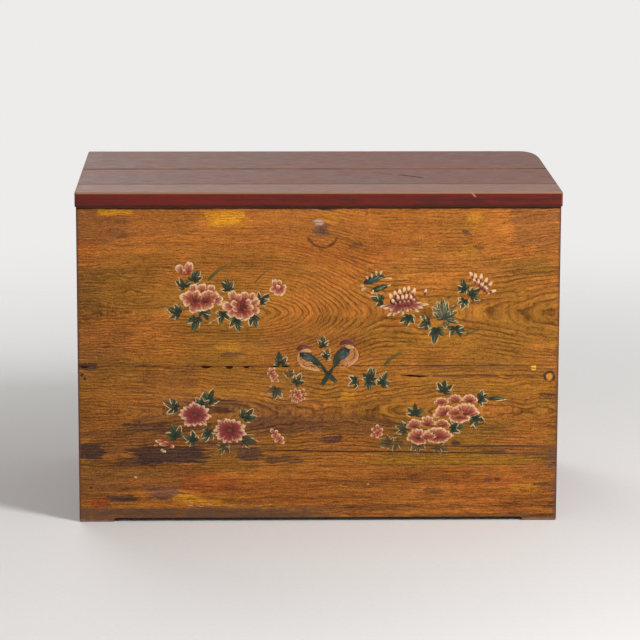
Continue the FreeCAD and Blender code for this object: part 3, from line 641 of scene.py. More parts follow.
def work_lid_board(place):
    """Lacquer on the top and the rims, worn at the arrises and the rear seam, with a gouge; bare below."""
    x, y, z = split(place)
    top, bottom, brow = LID_HIGH[2], LID_LOW[2], LID_LOW[1]
    arris = arris_of(place, LID_LOW, LID_HIGH, 3.4 * MM, 4.2 * MM)
    off_front = abs(y - LID_FRONT_SEAM)
    off_rear = abs(y - LID_REAR_SEAM)
    seams = rise(smaller(off_front, off_rear), 2.6 * MM, 0.8 * MM)
    on_front = rise(y, LID_FRONT_SEAM + 1.0 * MM, LID_FRONT_SEAM - 1.0 * MM)
    on_rear = rise(y, LID_REAR_SEAM - 1.0 * MM, LID_REAR_SEAM + 1.0 * MM)
    tone = on_rear * 0.06 + 1.0 - on_front * 0.14
    wood = use(BARE_WOOD, {"Grain": turned(place, "XYZ", 0.1), "Arris": seams, "Tone": tone})

    dust = rise(z, top - 4.0 * MM, top - 1.0 * MM)
    worn_line = rise(y - brow + (top - z), 4.6 * MM, 2.8 * MM)
    arris = larger(arris * 0.8, worn_line * 0.9)
    grain = join(x, y - 0.04 + z * 1.3, z)
    lacquer = use(RED_LACQUER, {"Grain": grain, "Arris": arris, "Dust": dust})
    broken = cloud(place, (14.0, 30.0, 30.0), 5.0, 0.7)
    rear = rise(off_rear, 9.0 * MM, 4.0 * MM)
    colour = mix(rear, lacquer["Colour"], SEAM_WOOD)
    dark_rear = rise(off_rear, 5.0 * MM, 2.5 * MM) * rise(broken, 0.46, 0.58)
    colour = mix(dark_rear, colour, CLEFT_BROWN)
    front = rise(off_front, 3.6 * MM, 1.2 * MM) * 0.8
    colour = mix(front, colour, CLEFT_BROWN)
    colour = shade(colour, between(dust, 1.0, between(on_front, 0.95, 1.1)))
    pale = on_front * dust * between(broken, 0.08, 0.66)
    colour = mix(pale, colour, LID_PALE)
    # Painted shade: the lid's lower edge darkened towards its underside.
    shaded_low_arris = rise(z, bottom + 8.0 * MM, bottom + 1.0 * MM)
    colour = mix(shaded_low_arris * 0.85, colour, LID_SHADE)

    gouge = scratch(place, (0.177, -0.0645, top), (0.217, -0.101, top), 7.5 * MM)
    graze = scratch(place, (0.122, -0.022, top), (0.158, -0.056, top), 4.0 * MM)
    gouge = larger(gouge, graze * 0.5)
    cut = larger(gouge, larger(front, rear))
    colour = mix(gouge, colour, CLEFT_BROWN)
    nick = scratch(place, (0.306, brow, top - 0.5 * MM), (0.315, brow, top - 9.0 * MM), 2.6 * MM)
    face = {
        "Colour": mix(nick, colour, ARRIS_WOOD),
        "Roughness": between(cut, lacquer["Roughness"], 0.95),
        "Height": lacquer["Height"] - cut * 0.8,
    }
    return blend_surface(rise(z, bottom + 0.3 * MM, bottom + 0.15 * MM), face, wood)


def side_board(name, outward):
    """Lacquer outside and on the arrises, bare wood inside."""
    low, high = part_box(name)

    def work(place):
        x = split(place)[0]
        arris = arris_of(place, low, high, ARRIS_WIDTH, ARRIS_BREAK)
        wood = use(BARE_WOOD, {"Grain": turned(place, "YZX", low.z - 0.08), "Arris": 0.0,
                               "Tone": BOARD_TONES[name.rsplit("_", 1)[1]]})
        grain = turned(place, "YZX", low.z + 0.07)
        lacquer = use(RED_LACQUER, {"Grain": grain, "Arris": arris * 0.5, "Dust": SIDE_DUST})
        inner = rise(x * outward, BODY_HALF - 8.0 * MM, BODY_HALF - 10.0 * MM)
        return blend_surface(inner, lacquer, wood)

    return finish("lacquered_" + name, work, WOOD_SHINE)


def bare_board(name, order):
    """Bare wood with the grain along the piece and darkened arrises."""
    low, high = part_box(name)

    def work(place):
        arris = arris_of(place, low, high, ARRIS_WIDTH, ARRIS_BREAK)
        across = "XYZ".index(order[1])
        grain = turned(place, order, 0.4 * low[across] + 0.6 * high[across] + 0.03)
        return use(BARE_WOOD, {"Grain": grain, "Arris": arris, "Tone": BOARD_TONES[name.rsplit("_", 1)[1]]})

    return finish("bare_" + name, work, WOOD_SHINE)


IRON_DARK = (0.038, 0.031, 0.028)
IRON_WORN = (0.120, 0.105, 0.095)
IRON_RUST = (0.165, 0.060, 0.024)
BAMBOO_DEEP = (0.30, 0.19, 0.07)
BAMBOO_PALE = (0.62, 0.46, 0.22)


def work_iron(place):
    """Hammered dark iron with patches of rust."""
    blow = cloud(place, (160.0, 160.0, 160.0), 3.0)
    rust = rise(cloud(place, (70.0, 70.0, 70.0), 5.0, 0.65), 0.46, 0.66)
    colour = mix(rise(blow, 0.4, 0.75), IRON_DARK, IRON_WORN)
    return {
        "Colour": mix(rust, colour, IRON_RUST),
        "Roughness": rust * 0.3 + 0.48,
        "Metallic": 0.85 - rust * 0.75,
        "Height": blow * 0.35 + rust * 0.1,
    }


def work_corner_nail(place):
    """Iron nails whose heads on the front took the ochre paint too, with the iron coming through in spots."""
    y = split(place)[1]
    ochre = use(OCHRE_FRONT, {"Place": place})
    iron = work_iron(place)
    metallic = iron.pop("Metallic")
    painted = rise(y, FRONT_FACE + 2.5 * MM, FRONT_FACE + 2.0 * MM)
    bare = rise(cloud(place, (330.0, 330.0, 330.0), 3.0), 0.42, 0.58)
    share = painted * (1.0 - bare * 0.3)
    surface = blend_surface(share, iron, ochre)
    surface["Metallic"] = metallic * (1.0 - share)
    return surface


def work_bamboo(place):
    """Split bamboo: pale yellow with long fibres."""
    fibre = cloud(place, (700.0, 700.0, 30.0), 3.0)
    return {
        "Colour": mix(fibre, BAMBOO_DEEP, BAMBOO_PALE),
        "Roughness": fibre * 0.2 + 0.4,
        "Height": fibre * 0.2,
    }


CROSS_CLEATS = ("bottom_cleat_left", "bottom_cleat_right", "bottom_cleat_middle")


def dress_pieces():
    """Gives every CAD node its finish."""
    painted_front = finish("painted_front", work_painted_board, PAINT_SHINE)
    lacquered_lid = finish("lacquered_lid", work_lid_board, LID_SHINE)
    iron = finish("wrought_iron", work_iron)
    nail = finish("painted_nail", work_corner_nail)
    bamboo = finish("bamboo", work_bamboo)
    for name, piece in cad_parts.items():
        if name.startswith("front_board"):
            material = painted_front
        elif name.startswith("lid_board"):
            material = lacquered_lid
        elif "side_board" in name:
            material = side_board(name, 1.0 if name.startswith("right") else -1.0)
        elif name == "corner_nails":
            material = nail
        elif "hinge" in name or "nails" in name:
            material = iron
        elif "dowels" in name:
            material = bamboo
        elif name.startswith("back_board"):
            material = bare_board(name, "XZY")
        elif name in CROSS_CLEATS or name.startswith("lid_batten"):
            material = bare_board(name, "YXZ")
        else:
            material = bare_board(name, "XYZ")
        piece.data.materials.clear()
        piece.data.materials.append(material)


# Brush marks of the painted flowers, each a grid of points. Places are (x, z) on the front, lengths in mm.
ROWS, COLUMNS = 9, 7
LEAN = np.sin(np.linspace(-0.5, 0.5, ROWS) * np.pi)[:, None]
ALONG = 0.5 + 0.48 * LEAN
ACROSS = np.sin(np.linspace(-0.5, 0.5, COLUMNS) * np.pi)[None, :]
RIM = np.maximum(np.abs(LEAN), np.abs(ACROSS))
# How deep a film's rim is pressed in, the plain film's thickness, and what each layer adds to it.
RIM_SINK = 0.05
FILM = 0.10
LAYER_STEP = 0.012
# The share by which a mark's width is uneven, and the nearness to a cleft at which a film is left open.
UNEVEN = 0.09
CLEFT_REACH = 1.2


def heading(degrees):
    return np.array((math.cos(math.radians(degrees)), math.sin(math.radians(degrees))))


def left_of(run):
    """A run turned by a quarter to the left."""
    return np.array((-run[1], run[0]))


def tapered_mark(start, bend, end, width, belly=0.5, blunt=0.75):
    """Brush mark along the quadratic curve start-bend-end.

    Its width goes as sin(pi along^k)^blunt, widest at belly, and is uneven by a random share at each row.
    """
    start, bend, end = (np.asarray(point, float) for point in (start, bend, end))
    spine = (1 - ALONG) ** 2 * start + 2 * ALONG * (1 - ALONG) * bend + ALONG ** 2 * end
    pull = (1 - ALONG) * (bend - start) + ALONG * (end - bend)
    pull = pull / np.linalg.norm(pull, axis=1, keepdims=True)
    normal = np.stack((-pull[:, 1], pull[:, 0]), axis=1)
    swell = np.sin(np.pi * ALONG ** (math.log(0.5) / math.log(belly))) ** blunt
    swell = swell * (1 + rng.uniform(-UNEVEN, UNEVEN, (ROWS, 1)))
    return spine[:, None, :] + normal[:, None, :] * (0.5 * width * swell * ACROSS)[:, :, None]


def round_mark(at, radius, scallops):
    """Round patch: a polar grid about its middle, with the reach waved by scallops."""
    angle = np.pi * 0.99 * ACROSS
    radius = radius * (1 + 0.08 * np.cos(scallops * angle)) * (0.04 + 0.96 * ALONG)
    return np.asarray(at, float) + np.stack((radius * np.cos(angle), radius * np.sin(angle)), axis=2)


def near_clefts(centres):
    """True for the faces of a film that would bridge the upper seam or a crack."""
    near = np.abs(centres[:, 1] - UPPER_SEAM / MM) < CLEFT_REACH
    for start, end in CRACKS:
        start = np.array(start)
        run = np.array(end) - start
        share = np.clip((centres - start) @ run / run.dot(run), 0.0, 1.0)
        near |= np.linalg.norm(centres - start - share[:, None] * run, axis=1) < CLEFT_REACH
    return near


def place_object(name, data):
    """A new object in the scene."""
    made = bpy.data.objects.new(name, data)
    bpy.context.scene.collection.objects.link(made)
    return made


class Painting:
    """Brush marks of one paint, each a thin film on the front with its rim pressed into the wood."""

    def __init__(self, name, paint, film):
        self.name = name
        self.paint = paint
        self.film = film
        self.marks = []
        self.notes = []

    def lay(self, mark, layer=0, fade=0.0):
        self.marks.append(mark)
        self.notes.append((self.film + LAYER_STEP * layer, rng.random(), fade))

    def hang(self):
        """All marks as one mesh: a mark stands out by its lift times 1 - rim^8, and faces over clefts go."""
        marks = np.array(self.marks)
        lift, tone, fade = np.array(self.notes).T[:, :, None, None]
        pull = marks[:, -1, COLUMNS // 2] - marks[:, 0, COLUMNS // 2]
        side = marks[:, ROWS // 2, -1] - marks[:, ROWS // 2, 0]
        mirrored = pull[:, 0] * side[:, 1] - pull[:, 1] * side[:, 0] < 0
        marks[mirrored] = marks[mirrored][:, :, ::-1]
        relief = 1 - RIM[None] ** 8
        stand = lift * relief - RIM_SINK * (1 - relief)
        points = np.stack((marks[..., 0], FRONT_FACE / MM - stand, marks[..., 1]), axis=-1).reshape(-1, 3)
        whole = np.ones(stand.shape)
        brush = np.stack((ALONG * whole, ACROSS * whole, tone * whole, fade * whole), axis=-1).reshape(-1, 4)
        index = np.arange(points.shape[0]).reshape(stand.shape)
        corners = (index[:, :-1, :-1], index[:, 1:, :-1], index[:, 1:, 1:], index[:, :-1, 1:])
        faces = np.stack(corners, axis=-1).reshape(-1, 4)
        faces = faces[~near_clefts(points[faces].mean(axis=1)[:, (0, 2)])]
        kept, corners = np.unique(faces, return_inverse=True)
        mesh = bpy.data.meshes.new(self.name)
        mesh.from_pydata((points[kept] * MM).tolist(), [], corners.reshape(-1, 4).tolist())
        mesh.polygons.foreach_set("use_smooth", np.ones(len(mesh.polygons), bool))
        layer = mesh.attributes.new("brush", "FLOAT_COLOR", "POINT")
        layer.data.foreach_set("color", brush[kept].astype(np.float32).ravel())
        mesh.materials.append(self.paint)
        piece = place_object(self.name, mesh)
        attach(piece, "carcass")


def brush_paint(name, heart, body, edge, edge_from, edge_sides, worn, core=0.0):
    """Paint from heart to body to edge colour along each mark, streaked by the brush and worn to the ochre.

    With a core, the heart colour also runs up the middle of the mark.
    """
    def work(place):
        node = place.tree.nodes.new("ShaderNodeAttribute")
        node.attribute_name = "brush"
        note = results(node)
        along, across, tone = split(note["Color"])
        fade = note["Alpha"]
        off_middle = abs(across)
        hair = join(across * 4.5, along, tone * 60.0)
        hair = cloud(hair, (1.0, 1.4, 1.0), 3.0, 0.6) - 0.5
        ochre = use(OCHRE_FRONT, {"Place": place})
        colour = mix(rise(along + hair, 0.15, 0.6), heart, body)
        colour = mix((tone - 0.5) * 0.5, colour, heart)
        middle = rise(off_middle + hair * 1.2, 0.75, 0.2)
        middle = middle * rise(along + hair, 0.88, 0.6)
        colour = mix(middle * core, colour, heart)
        tip = rise(along + hair * 0.9, edge_from, edge_from + 0.16)
        flank = rise(off_middle + hair * 0.8, 0.62, 0.95)
        flank = flank * rise(along, 0.25, 0.6) * edge_sides
        colour = mix(larger(tip, flank), colour, edge)
        loss = cloud(place, (110.0, 60.0, 230.0), 4.0, 0.65)
        loss = loss + (fade * 0.09 + (worn - 0.5))
        kept = rise(loss, 0.29, 0.08) * (1.0 - fade * 0.55)
        return {
            "Colour": mix(kept, ochre["Colour"], colour),
            "Roughness": between(kept, ochre["Roughness"], 0.46),
            "Height": ochre["Height"] + hair * 0.12,
        }

    return finish(name, work, PAINT_SHINE)


def painting(pieces, paint, film, *look):
    """A painting with a paint of its own; look is what brush_paint takes after the name."""
    return Painting("painted_" + pieces, brush_paint(paint + "_paint", *look), film)


CREAM = (0.790, 0.520, 0.285)
CRIMSON = (0.235, 0.030, 0.022)

petals = painting("petals", "petal", 0.26, CRIMSON, (0.570, 0.215, 0.122), CREAM, 0.70, 0.90, 0.06, 0.50)
roses = painting("rose_petals", "rose", 0.26,
                 CRIMSON, (0.530, 0.180, 0.104), (0.780, 0.500, 0.265), 0.71, 0.90, 0.07, 0.52)
petal_rims = painting("petal_rims", "petal_rim", 0.30,
                      (0.700, 0.400, 0.240), CREAM, (0.830, 0.590, 0.360), 0.6, 0.0, 0.10)
hearts = painting("hearts", "heart", 0.24,
                  (0.085, 0.012, 0.014), (0.180, 0.026, 0.028), (0.240, 0.045, 0.040), 0.85, 0.2, 0.08)
daisies = painting("daisy_petals", "daisy", 0.24, (0.130, 0.015, 0.017), (0.290, 0.050, 0.047),
                   (0.700, 0.410, 0.240), 0.66, 0.85, 0.06, 0.35)
fingers = painting("finger_petals", "finger", 0.30,
                   (0.110, 0.018, 0.014), (0.320, 0.085, 0.060), CREAM, 0.42, 0.0, 0.05)
skirts = painting("skirt_petals", "skirt", 0.26,
                  (0.130, 0.020, 0.018), (0.270, 0.062, 0.048), (0.720, 0.460, 0.260), 0.66, 0.60, 0.06)
leaves = painting("leaves", "leaf", FILM,
                  (0.014, 0.022, 0.014), (0.030, 0.045, 0.022), (0.120, 0.122, 0.056), 0.86, 0.45, 0.03)
leaf_lights = painting("leaf_lights", "leaf_light", 0.15,
                       (0.050, 0.075, 0.042), (0.130, 0.155, 0.082), (0.300, 0.270, 0.140), 0.70, 0.2, 0.06)
leaf_rims = painting("leaf_rims", "leaf_rim", 0.17, CREAM, (0.560, 0.400, 0.200), CREAM, 0.7, 0.0, 0.12)
blades = painting("blades", "blade", FILM,
                  (0.070, 0.062, 0.014), (0.110, 0.086, 0.018), (0.170, 0.115, 0.030), 0.8, 0.2, 0.0)
feathers = painting("feathers", "feather", 0.26,
                    (0.022, 0.062, 0.084), (0.036, 0.078, 0.074), (0.150, 0.180, 0.130), 0.84, 0.35, 0.06)
tails = painting("tails", "tail", 0.16,
                 (0.014, 0.026, 0.024), (0.036, 0.040, 0.024), (0.110, 0.085, 0.045), 0.92, 0.3, 0.0)
breasts = painting("breasts", "breast", 0.22,
                   (0.520, 0.220, 0.075), (0.620, 0.300, 0.118), (0.720, 0.420, 0.200), 0.86, 0.5, 0.07)
caps = painting("caps", "cap", 0.18,
                (0.085, 0.020, 0.020), (0.150, 0.042, 0.036), (0.190, 0.080, 0.050), 0.80, 0.3, 0.06)


def petal(paint, x, z, turn, length, width, layer=0, fade=0.0):
    """Egg-shaped petal about its middle, widest at 0.6 of its length and bent a little to one side."""
    middle = np.array((x, z), float)
    reach = 0.5 * length * heading(turn)
    bend = middle + rng.uniform(-0.16, 0.16) * left_of(reach)
    paint.lay(tapered_mark(middle - reach, bend, middle + reach, width, 0.6, 0.5), layer, fade)


def bloom(paint, rows, layer=0, fade=0.0):
    """Petals from rows of (x, z, turn, length, width), each a layer above the one before."""
    for step, row in enumerate(rows):
        petal(paint, *row, layer + step, fade)


def rimmed_bloom(paint, rows, layer=0, fade=0.0):
    """A bloom with pale lines round some of its petals' tips, from a flank to near the middle."""
    bloom(paint, rows, layer, fade)
    for step, (x, z, turn, length, width) in enumerate(rows):
        aim, across = heading(turn), heading(turn + 90.0)
        for side in (-1.0, 1.0):
            if rng.random() < 0.55:
                flank = side * width * across
                start = (x, z) + rng.uniform(-0.10, 0.15) * length * aim + 0.44 * flank
                bend = (x, z) + 0.46 * length * aim + 0.50 * flank
                end = (x, z) + rng.uniform(0.42, 0.54) * length * aim + rng.uniform(-0.05, 0.15) * flank
                petal_rims.lay(tapered_mark(start, bend, end, rng.uniform(1.2, 2.4)), layer + step, fade)


def dashes(paint, root, tips, width, layer, fade=0.0):
    """Thin marks that spread from one root to each tip, widest near the tip and sagging a little."""
    root = np.array(root, float)
    for step, tip in enumerate(tips):
        bend = 0.5 * (root + tip) + (0.0, -0.06 * np.linalg.norm(root - tip))
        paint.lay(tapered_mark(root, bend, tip, width, 0.66), layer + step % 5, fade)


def ring_tips(x, z, reach, count):
    """Points round a middle at a reach, uneven in turn and distance."""
    turns = np.linspace(0.0, 360.0, count, endpoint=False) + rng.uniform(-14.0, 14.0, count)
    return [np.array((x, z)) + reach * rng.uniform(0.8, 1.15) * heading(turn) for turn in turns]


def frill(x, z, width, height, turn, count, layer, fade=0.0):
    """Ruffled petal: lobes fanned by 65 degrees to each side, the middle ones on top, with dark lines."""
    aim, across = heading(turn), heading(turn - 90.0)
    middle = np.array((x, z), float)
    swings = np.linspace(-1.0, 1.0, count)
    for swing in swings:
        at_x, at_z = middle + 0.34 * width * swing * across + (0.20 - 0.26 * swing ** 2) * height * aim
        row = (at_x, at_z, turn - 65.0 * swing + rng.uniform(-12.0, 12.0), rng.uniform(0.62, 0.84) * height,
               rng.uniform(1.3, 1.7) * width / count)
        rimmed_bloom(roses, (row,), layer + 3.0 * (1.0 - abs(swing)), fade)
    tips = [middle + 0.34 * width * swing * across + rng.uniform(0.0, 0.25) * height * aim
            for swing in swings]
    dashes(hearts, middle - 0.34 * height * aim, tips, 2.6, layer + 5, fade)


# Lobes of a leaf: (turn from its aim, share of its size).
LOBES = ((-76.0, 0.56), (76.0, 0.56), (-40.0, 0.84), (40.0, 0.84), (0.0, 1.04))


def leaf(x, z, turn, size, fade=0.0):
    """Pointed lobes from one root, most with a light stroke on them and some with pale lines along a side."""
    root = np.array((x, z)) - 0.42 * size * heading(turn)
    for layer, (swing, share) in enumerate(LOBES):
        aim = heading(turn + swing + rng.uniform(-11.0, 11.0))
        across = left_of(aim)
        reach = share * size * rng.uniform(0.86, 1.14)
        width = 0.38 * reach + 2.0
        tip = root + reach * aim
        middle = root + 0.5 * reach * aim + rng.uniform(-0.10, 0.10) * size * across
        leaves.lay(tapered_mark(root, middle, tip, width, 0.46, 0.85), layer, fade)
        if rng.random() < 0.75:
            slide = rng.uniform(-0.2, 0.2) * width * across
            start = root + rng.uniform(0.25, 0.4) * reach * aim + slide
            light = tapered_mark(start, middle + 1.2 * slide, tip, rng.uniform(1.6, 2.8), 0.55)
            leaf_lights.lay(light, layer, fade)
        for side in (-1.0, 1.0):
            if rng.random() < 0.50:
                start = root + rng.uniform(0.35, 0.6) * reach * aim + side * 0.46 * width * across
                bend = root + 0.78 * reach * aim + side * 0.44 * width * across
                end = tip + rng.uniform(0.4, 2.4) * aim
                leaf_rims.lay(tapered_mark(start, bend, end, rng.uniform(1.5, 2.9)), layer, fade)


def leafy_bloom(root, tips):
    """Pointed leaves from one root to each tip, with a light stroke and pale lines that meet in the tip."""
    root = np.array(root, float)
    for step, tip in enumerate(np.array(tips, float)):
        run = tip - root
        across = left_of(run) / np.linalg.norm(run)
        middle = root + 0.5 * run + rng.uniform(-2.0, 2.0) * across
        leaves.lay(tapered_mark(root, middle, tip, 9.0, 0.62), step % 6)
        leaf_lights.lay(tapered_mark(root + 0.4 * run, middle + 0.25 * run, tip, 2.4, 0.5), step % 6)
        for side in (-1.0, 1.0):
            if rng.random() < 0.7:
                start = root + 0.6 * run + 3.9 * side * across
                bend = root + 0.84 * run + 3.6 * side * across
                leaf_rims.lay(tapered_mark(start, bend, tip, 1.9), step % 6)


def daisy(x, z, size):
    """A flattened ring of pointed petals with pale tips, round darker short ones and an olive button."""
    at = np.array((x, z), float)
    flat = np.array((1.0, 0.8))
    for paint, count, reach, width, layer in ((daisies, 16, 0.54, 0.19, 0), (hearts, 9, 0.27, 0.09, 8)):
        for step in range(count):
            aim = heading(step * 360.0 / count + rng.uniform(-7.0, 7.0)) * flat
            end = at + size * reach * rng.uniform(0.86, 1.08) * aim
            bend = 0.5 * (at + end) + rng.uniform(-0.03, 0.03) * size * left_of(aim)
            start = at + 0.03 * size * aim
            paint.lay(tapered_mark(start, bend, end, width * size, 0.60, 0.95), layer + step % 4)
    blades.lay(round_mark(at, 0.055 * size, 5), 26, 0.1)


def bird(crest, face, body, breast, girth, wing, wing_width, back, tail):
    """One small bird: dark tail, back and crest, a teal wing, a peach body and a lined, hatched breast."""
    start, end = np.array(tail, float)
    across = left_of(end - start) / np.linalg.norm(end - start)
    for slide in (-2.2, 2.2):
        bend = 0.5 * (start + end) + slide * across
        tails.lay(tapered_mark(start, bend, end + slide * across, 7.0, 0.55), 1)
    caps.lay(tapered_mark(*breast, girth + 2.6, 0.5, 0.6), 0, 0.3)
    breasts.lay(tapered_mark(*body, 1.5 * girth, 0.5, 0.6), 0, 0.75)
    breasts.lay(tapered_mark(*breast, girth, 0.5, 0.6), 1)
    breasts.lay(tapered_mark(*face, 9.0, 0.5, 0.6), 2)
    first, middle, last = np.array(breast, float)
    inward = np.mean(body, axis=0)
    for share in np.linspace(0.15, 0.88, 11):
        root = (1 - share) ** 2 * first + 2 * share * (1 - share) * middle + share ** 2 * last
        tip = root + rng.uniform(0.35, 0.7) * (inward - root)
        caps.lay(tapered_mark(root, 0.5 * (root + tip) + (0.8, -0.8), tip, 1.5), 9, 0.40)
    tails.lay(tapered_mark(*back, 13.0, 0.45), 8)
    tails.lay(tapered_mark(*wing, wing_width, 0.42, 0.55), 10)
    start, bend, end = np.array(wing, float)
    run = end - start
    across = left_of(run) / np.linalg.norm(run)
    for step, slide in enumerate(np.linspace(-0.32, 0.32, 5) * wing_width):
        root = start + 0.10 * run + 0.8 * slide * across
        tip = start + rng.uniform(0.60, 0.82) * run + 0.7 * slide * across
        bend = 0.5 * (root + tip) + 0.3 * slide * across
        feathers.lay(tapered_mark(root, bend, tip, 4.6, 0.5), 3 + step)
    caps.lay(tapered_mark(*crest, 10.5, 0.42), 10)


# Petals of the blooms: (x, z, turn, length, width). The skirts and the leafy tips are plain points.
TWIN_PEONY = (
    (-254, 487, 95, 18, 18), (-218, 486, 85, 17, 17), (-237, 488, 90, 18, 18), (-270, 467, 168, 26, 18),
    (-265, 458, 208, 20, 14), (-262, 474, 132, 19, 16), (-250, 474, 98, 22, 18), (-242, 469, 62, 17, 14),
    (-255, 445, 240, 19, 17), (-244, 447, 276, 17, 14), (-233, 448, 262, 18, 16), (-222, 452, 302, 18, 16),
    (-203, 464, 8, 19, 12), (-205, 458, 336, 18, 11), (-211, 471, 42, 19, 16), (-222, 475, 80, 19, 16),
    (-231, 472, 112, 18, 15), (-216, 462, 352, 17, 13),
)
FULL_PEONY = (
    (-175, 470, 108, 26, 18), (-135, 470, 68, 17, 14), (-150, 471, 95, 19, 17), (-162, 466, 80, 20, 15),
    (-185, 451, 176, 24, 20), (-130, 458, 36, 22, 17), (-129, 440, 348, 18, 17), (-177, 436, 228, 20, 17),
    (-162, 432, 264, 19, 16), (-148, 429, 286, 17, 16), (-139, 436, 312, 18, 15), (-170, 454, 150, 19, 14),
    (-144, 456, 60, 18, 13), (-141, 447, 12, 18, 13), (-168, 444, 210, 17, 13),
)
PAIR_BUD = ((-281, 526, 118, 22, 17), (-264, 529, 76, 26, 18), (-272, 520, 98, 14, 12))
LOOSE_BUD = (
    (-80, 498, 66, 12, 11), (-89, 496, 104, 18, 11), (-72, 489, 22, 12, 9), (-92, 485, 200, 18, 13),
    (-74, 482, 330, 13, 12), (-84, 480, 258, 17, 13), (-77, 479, 300, 16, 13), (-83, 487, 80, 14, 10),
)
DOME = (
    (147, 466, 114, 21, 7.5), (156, 473, 106, 19, 7), (165, 476, 98, 19, 7), (174, 480, 92, 19, 7),
    (182, 482, 84, 18, 7), (192, 477, 72, 22, 7.5), (152, 458, 114, 18, 7), (161, 464, 102, 19, 7),
    (170, 464, 94, 18, 7), (178, 466, 88, 18, 7), (186, 465, 76, 19, 7),
)
DOME_FOOT = (
    (157, 452, 112, 15, 8), (165, 454, 98, 15, 8), (174, 455, 90, 15, 8), (182, 456, 80, 15, 8),
    (191, 459, 68, 15, 8),
)
DOME_SKIRT = (
    (122, 449), (130, 444), (138, 428), (150, 429), (160, 434), (171, 432), (182, 437), (193, 441),
    (205, 437), (213, 446), (210, 456), (225, 453), (143, 440),
)
SIDE_BLOOM = (
    (316, 501, 112, 16, 6), (325, 497, 96, 16, 6), (333, 491, 76, 16, 6), (339, 484, 54, 16, 6),
    (310, 512, 116, 19, 6.5), (319, 508, 104, 18, 6.5), (329, 506, 84, 20, 6.5), (338, 500, 68, 19, 6.5),
    (346, 493, 52, 18, 6.5), (352, 480, 14, 18, 6),
)
SIDE_SKIRT = ((311, 508), (320, 502), (329, 498), (338, 491), (348, 475), (338, 477))
LEAF_DABS = (
    (98, 508, 116, 8, 5), (107, 512, 104, 9, 5), (116, 517, 96, 11, 5), (126, 519, 80, 11, 5.5),
    (140, 506, 0, 17, 4.5), (91, 485, 210, 12, 6), (88, 492, 170, 8, 4), (109, 479, 250, 10, 6),
    (142, 492, 20, 8, 4),
)
LEAFY_TIPS = (
    (252, 468), (240, 460), (229, 448), (231, 436), (262, 460), (276, 452), (282, 440), (244, 446),
    (256, 448), (268, 440), (278, 424), (238, 424), (266, 410), (258, 402), (284, 414),
)
TALL_BLOSSOM = (
    (-98, 317, 130, 11, 7), (-92, 318, 64, 10, 7), (-101, 311, 186, 9, 6), (-92, 310, 30, 11, 8),
    (-95, 304, 210, 11, 8), (-87, 305, 10, 10, 7), (-93, 298, 236, 11, 7), (-86, 297, 318, 12, 8),
    (-90, 301, 280, 10, 7),
)
WIDE_BLOSSOM = (
    (-54, 272, 150, 11, 7), (-47, 274, 112, 11, 7), (-40, 271, 84, 12, 8), (-32, 274, 66, 10, 7),
    (-55, 264, 182, 10, 7), (-47, 265, 205, 11, 8), (-38, 264, 20, 11, 8), (-29, 266, 14, 10, 6),
    (-52, 256, 232, 11, 7), (-45, 254, 262, 12, 7), (-37, 257, 290, 11, 8), (-31, 259, 326, 9, 6),
    (-43, 261, 250, 9, 7),
)
WORN_BUD = (
    (-323, 168, 168, 24, 7), (-312, 163, 176, 30, 11), (-302, 159, 352, 15, 8), (-330, 161, 184, 14, 4),
)
SMALL_BUD = (
    (-94, 189, 124, 14, 9), (-87, 187, 72, 12, 8), (-91, 180, 186, 12, 8), (-83, 180, 34, 12, 8),
    (-77, 175, 16, 13, 9), (-85, 172, 236, 13, 8), (-75, 168, 322, 14, 9), (-84, 178, 90, 9, 7),
)
# Ruffled petals: (x, z, width, height, turn, lobes, layer).
UPPER_FRILLS = (
    (251, 250, 27, 16, 92, 5, 0), (309, 255, 27, 19, 88, 5, 0), (279, 255, 26, 21, 90, 5, 1),
    (288, 215, 44, 17, 270, 6, 2), (256, 229, 40, 27, 112, 6, 5), (302, 231, 54, 31, 78, 8, 6),
    (279, 228, 30, 20, 96, 5, 10),
)
LOWER_FRILLS = (
    (195, 202, 28, 22, 100, 5, 0), (254, 204, 30, 19, 80, 5, 0), (223, 207, 28, 25, 90, 5, 1),
    (203, 170, 38, 17, 256, 5, 2), (246, 172, 46, 16, 276, 6, 2), (201, 180, 38, 26, 108, 6, 5),
    (246, 182, 57, 28, 82, 8, 6), (224, 178, 30, 19, 94, 5, 10),
)
DAB_BUD = (
    (121, 197, 98, 13, 8), (113, 192, 152, 12, 8), (127, 191, 38, 12, 8), (118, 186, 194, 12, 8),
    (126, 184, 342, 12, 8), (112, 182, 208, 13, 7), (121, 180, 268, 12, 8), (120, 189, 90, 9, 7),
)

# Leaves of all the sprays: (x, z, turn, size) and, where one is worn, how much.
LEAVES = (
    (-294, 438, 165, 31), (-249, 511, 60, 25), (-275, 498, 110, 25), (-184, 492, 90, 25), (-113, 467, 50, 26),
    (-231, 434, 290, 25), (-253, 416, 250, 28), (-196, 428, 262, 25), (-166, 413, 270, 28),
    (-130, 422, 300, 28), (120, 462, 170, 25), (179, 421, 250, 26),
    (216, 415, 200, 25), (239, 391, 268, 30), (281, 396, 290, 28), (293, 489, 110, 25), (317, 474, 30, 26),
    (294, 454, 255, 23), (-77, 340, 90, 27), (-60, 311, 120, 19, 0.4), (-42, 297, 50, 23),
    (-89, 270, 250, 26, 0.2), (9, 373, 90, 21), (17, 349, 60, 19), (103, 309, 97, 30), (133, 296, 60, 26),
    (70, 292, 200, 23), (103, 286, 280, 22), (-299, 243, 160, 29), (-238, 253, 85, 25), (-219, 260, 60, 27),
    (-144, 226, 50, 31), (-295, 188, 120, 29), (-261, 174, 150, 27), (-226, 182, 260, 25),
    (-144, 169, 340, 29, 0.2), (-195, 153, 265, 25, 0.5), (256, 281, 80, 30), (337, 259, 25, 26),
    (199, 233, 85, 28), (170, 196, 150, 28, 0.2), (323, 209, 290, 28), (282, 195, 10, 26),
    (138, 168, 150, 25, 0.5), (163, 160, 250, 25, 0.6), (202, 154, 265, 26, 0.6), (251, 155, 350, 26, 0.6),
)
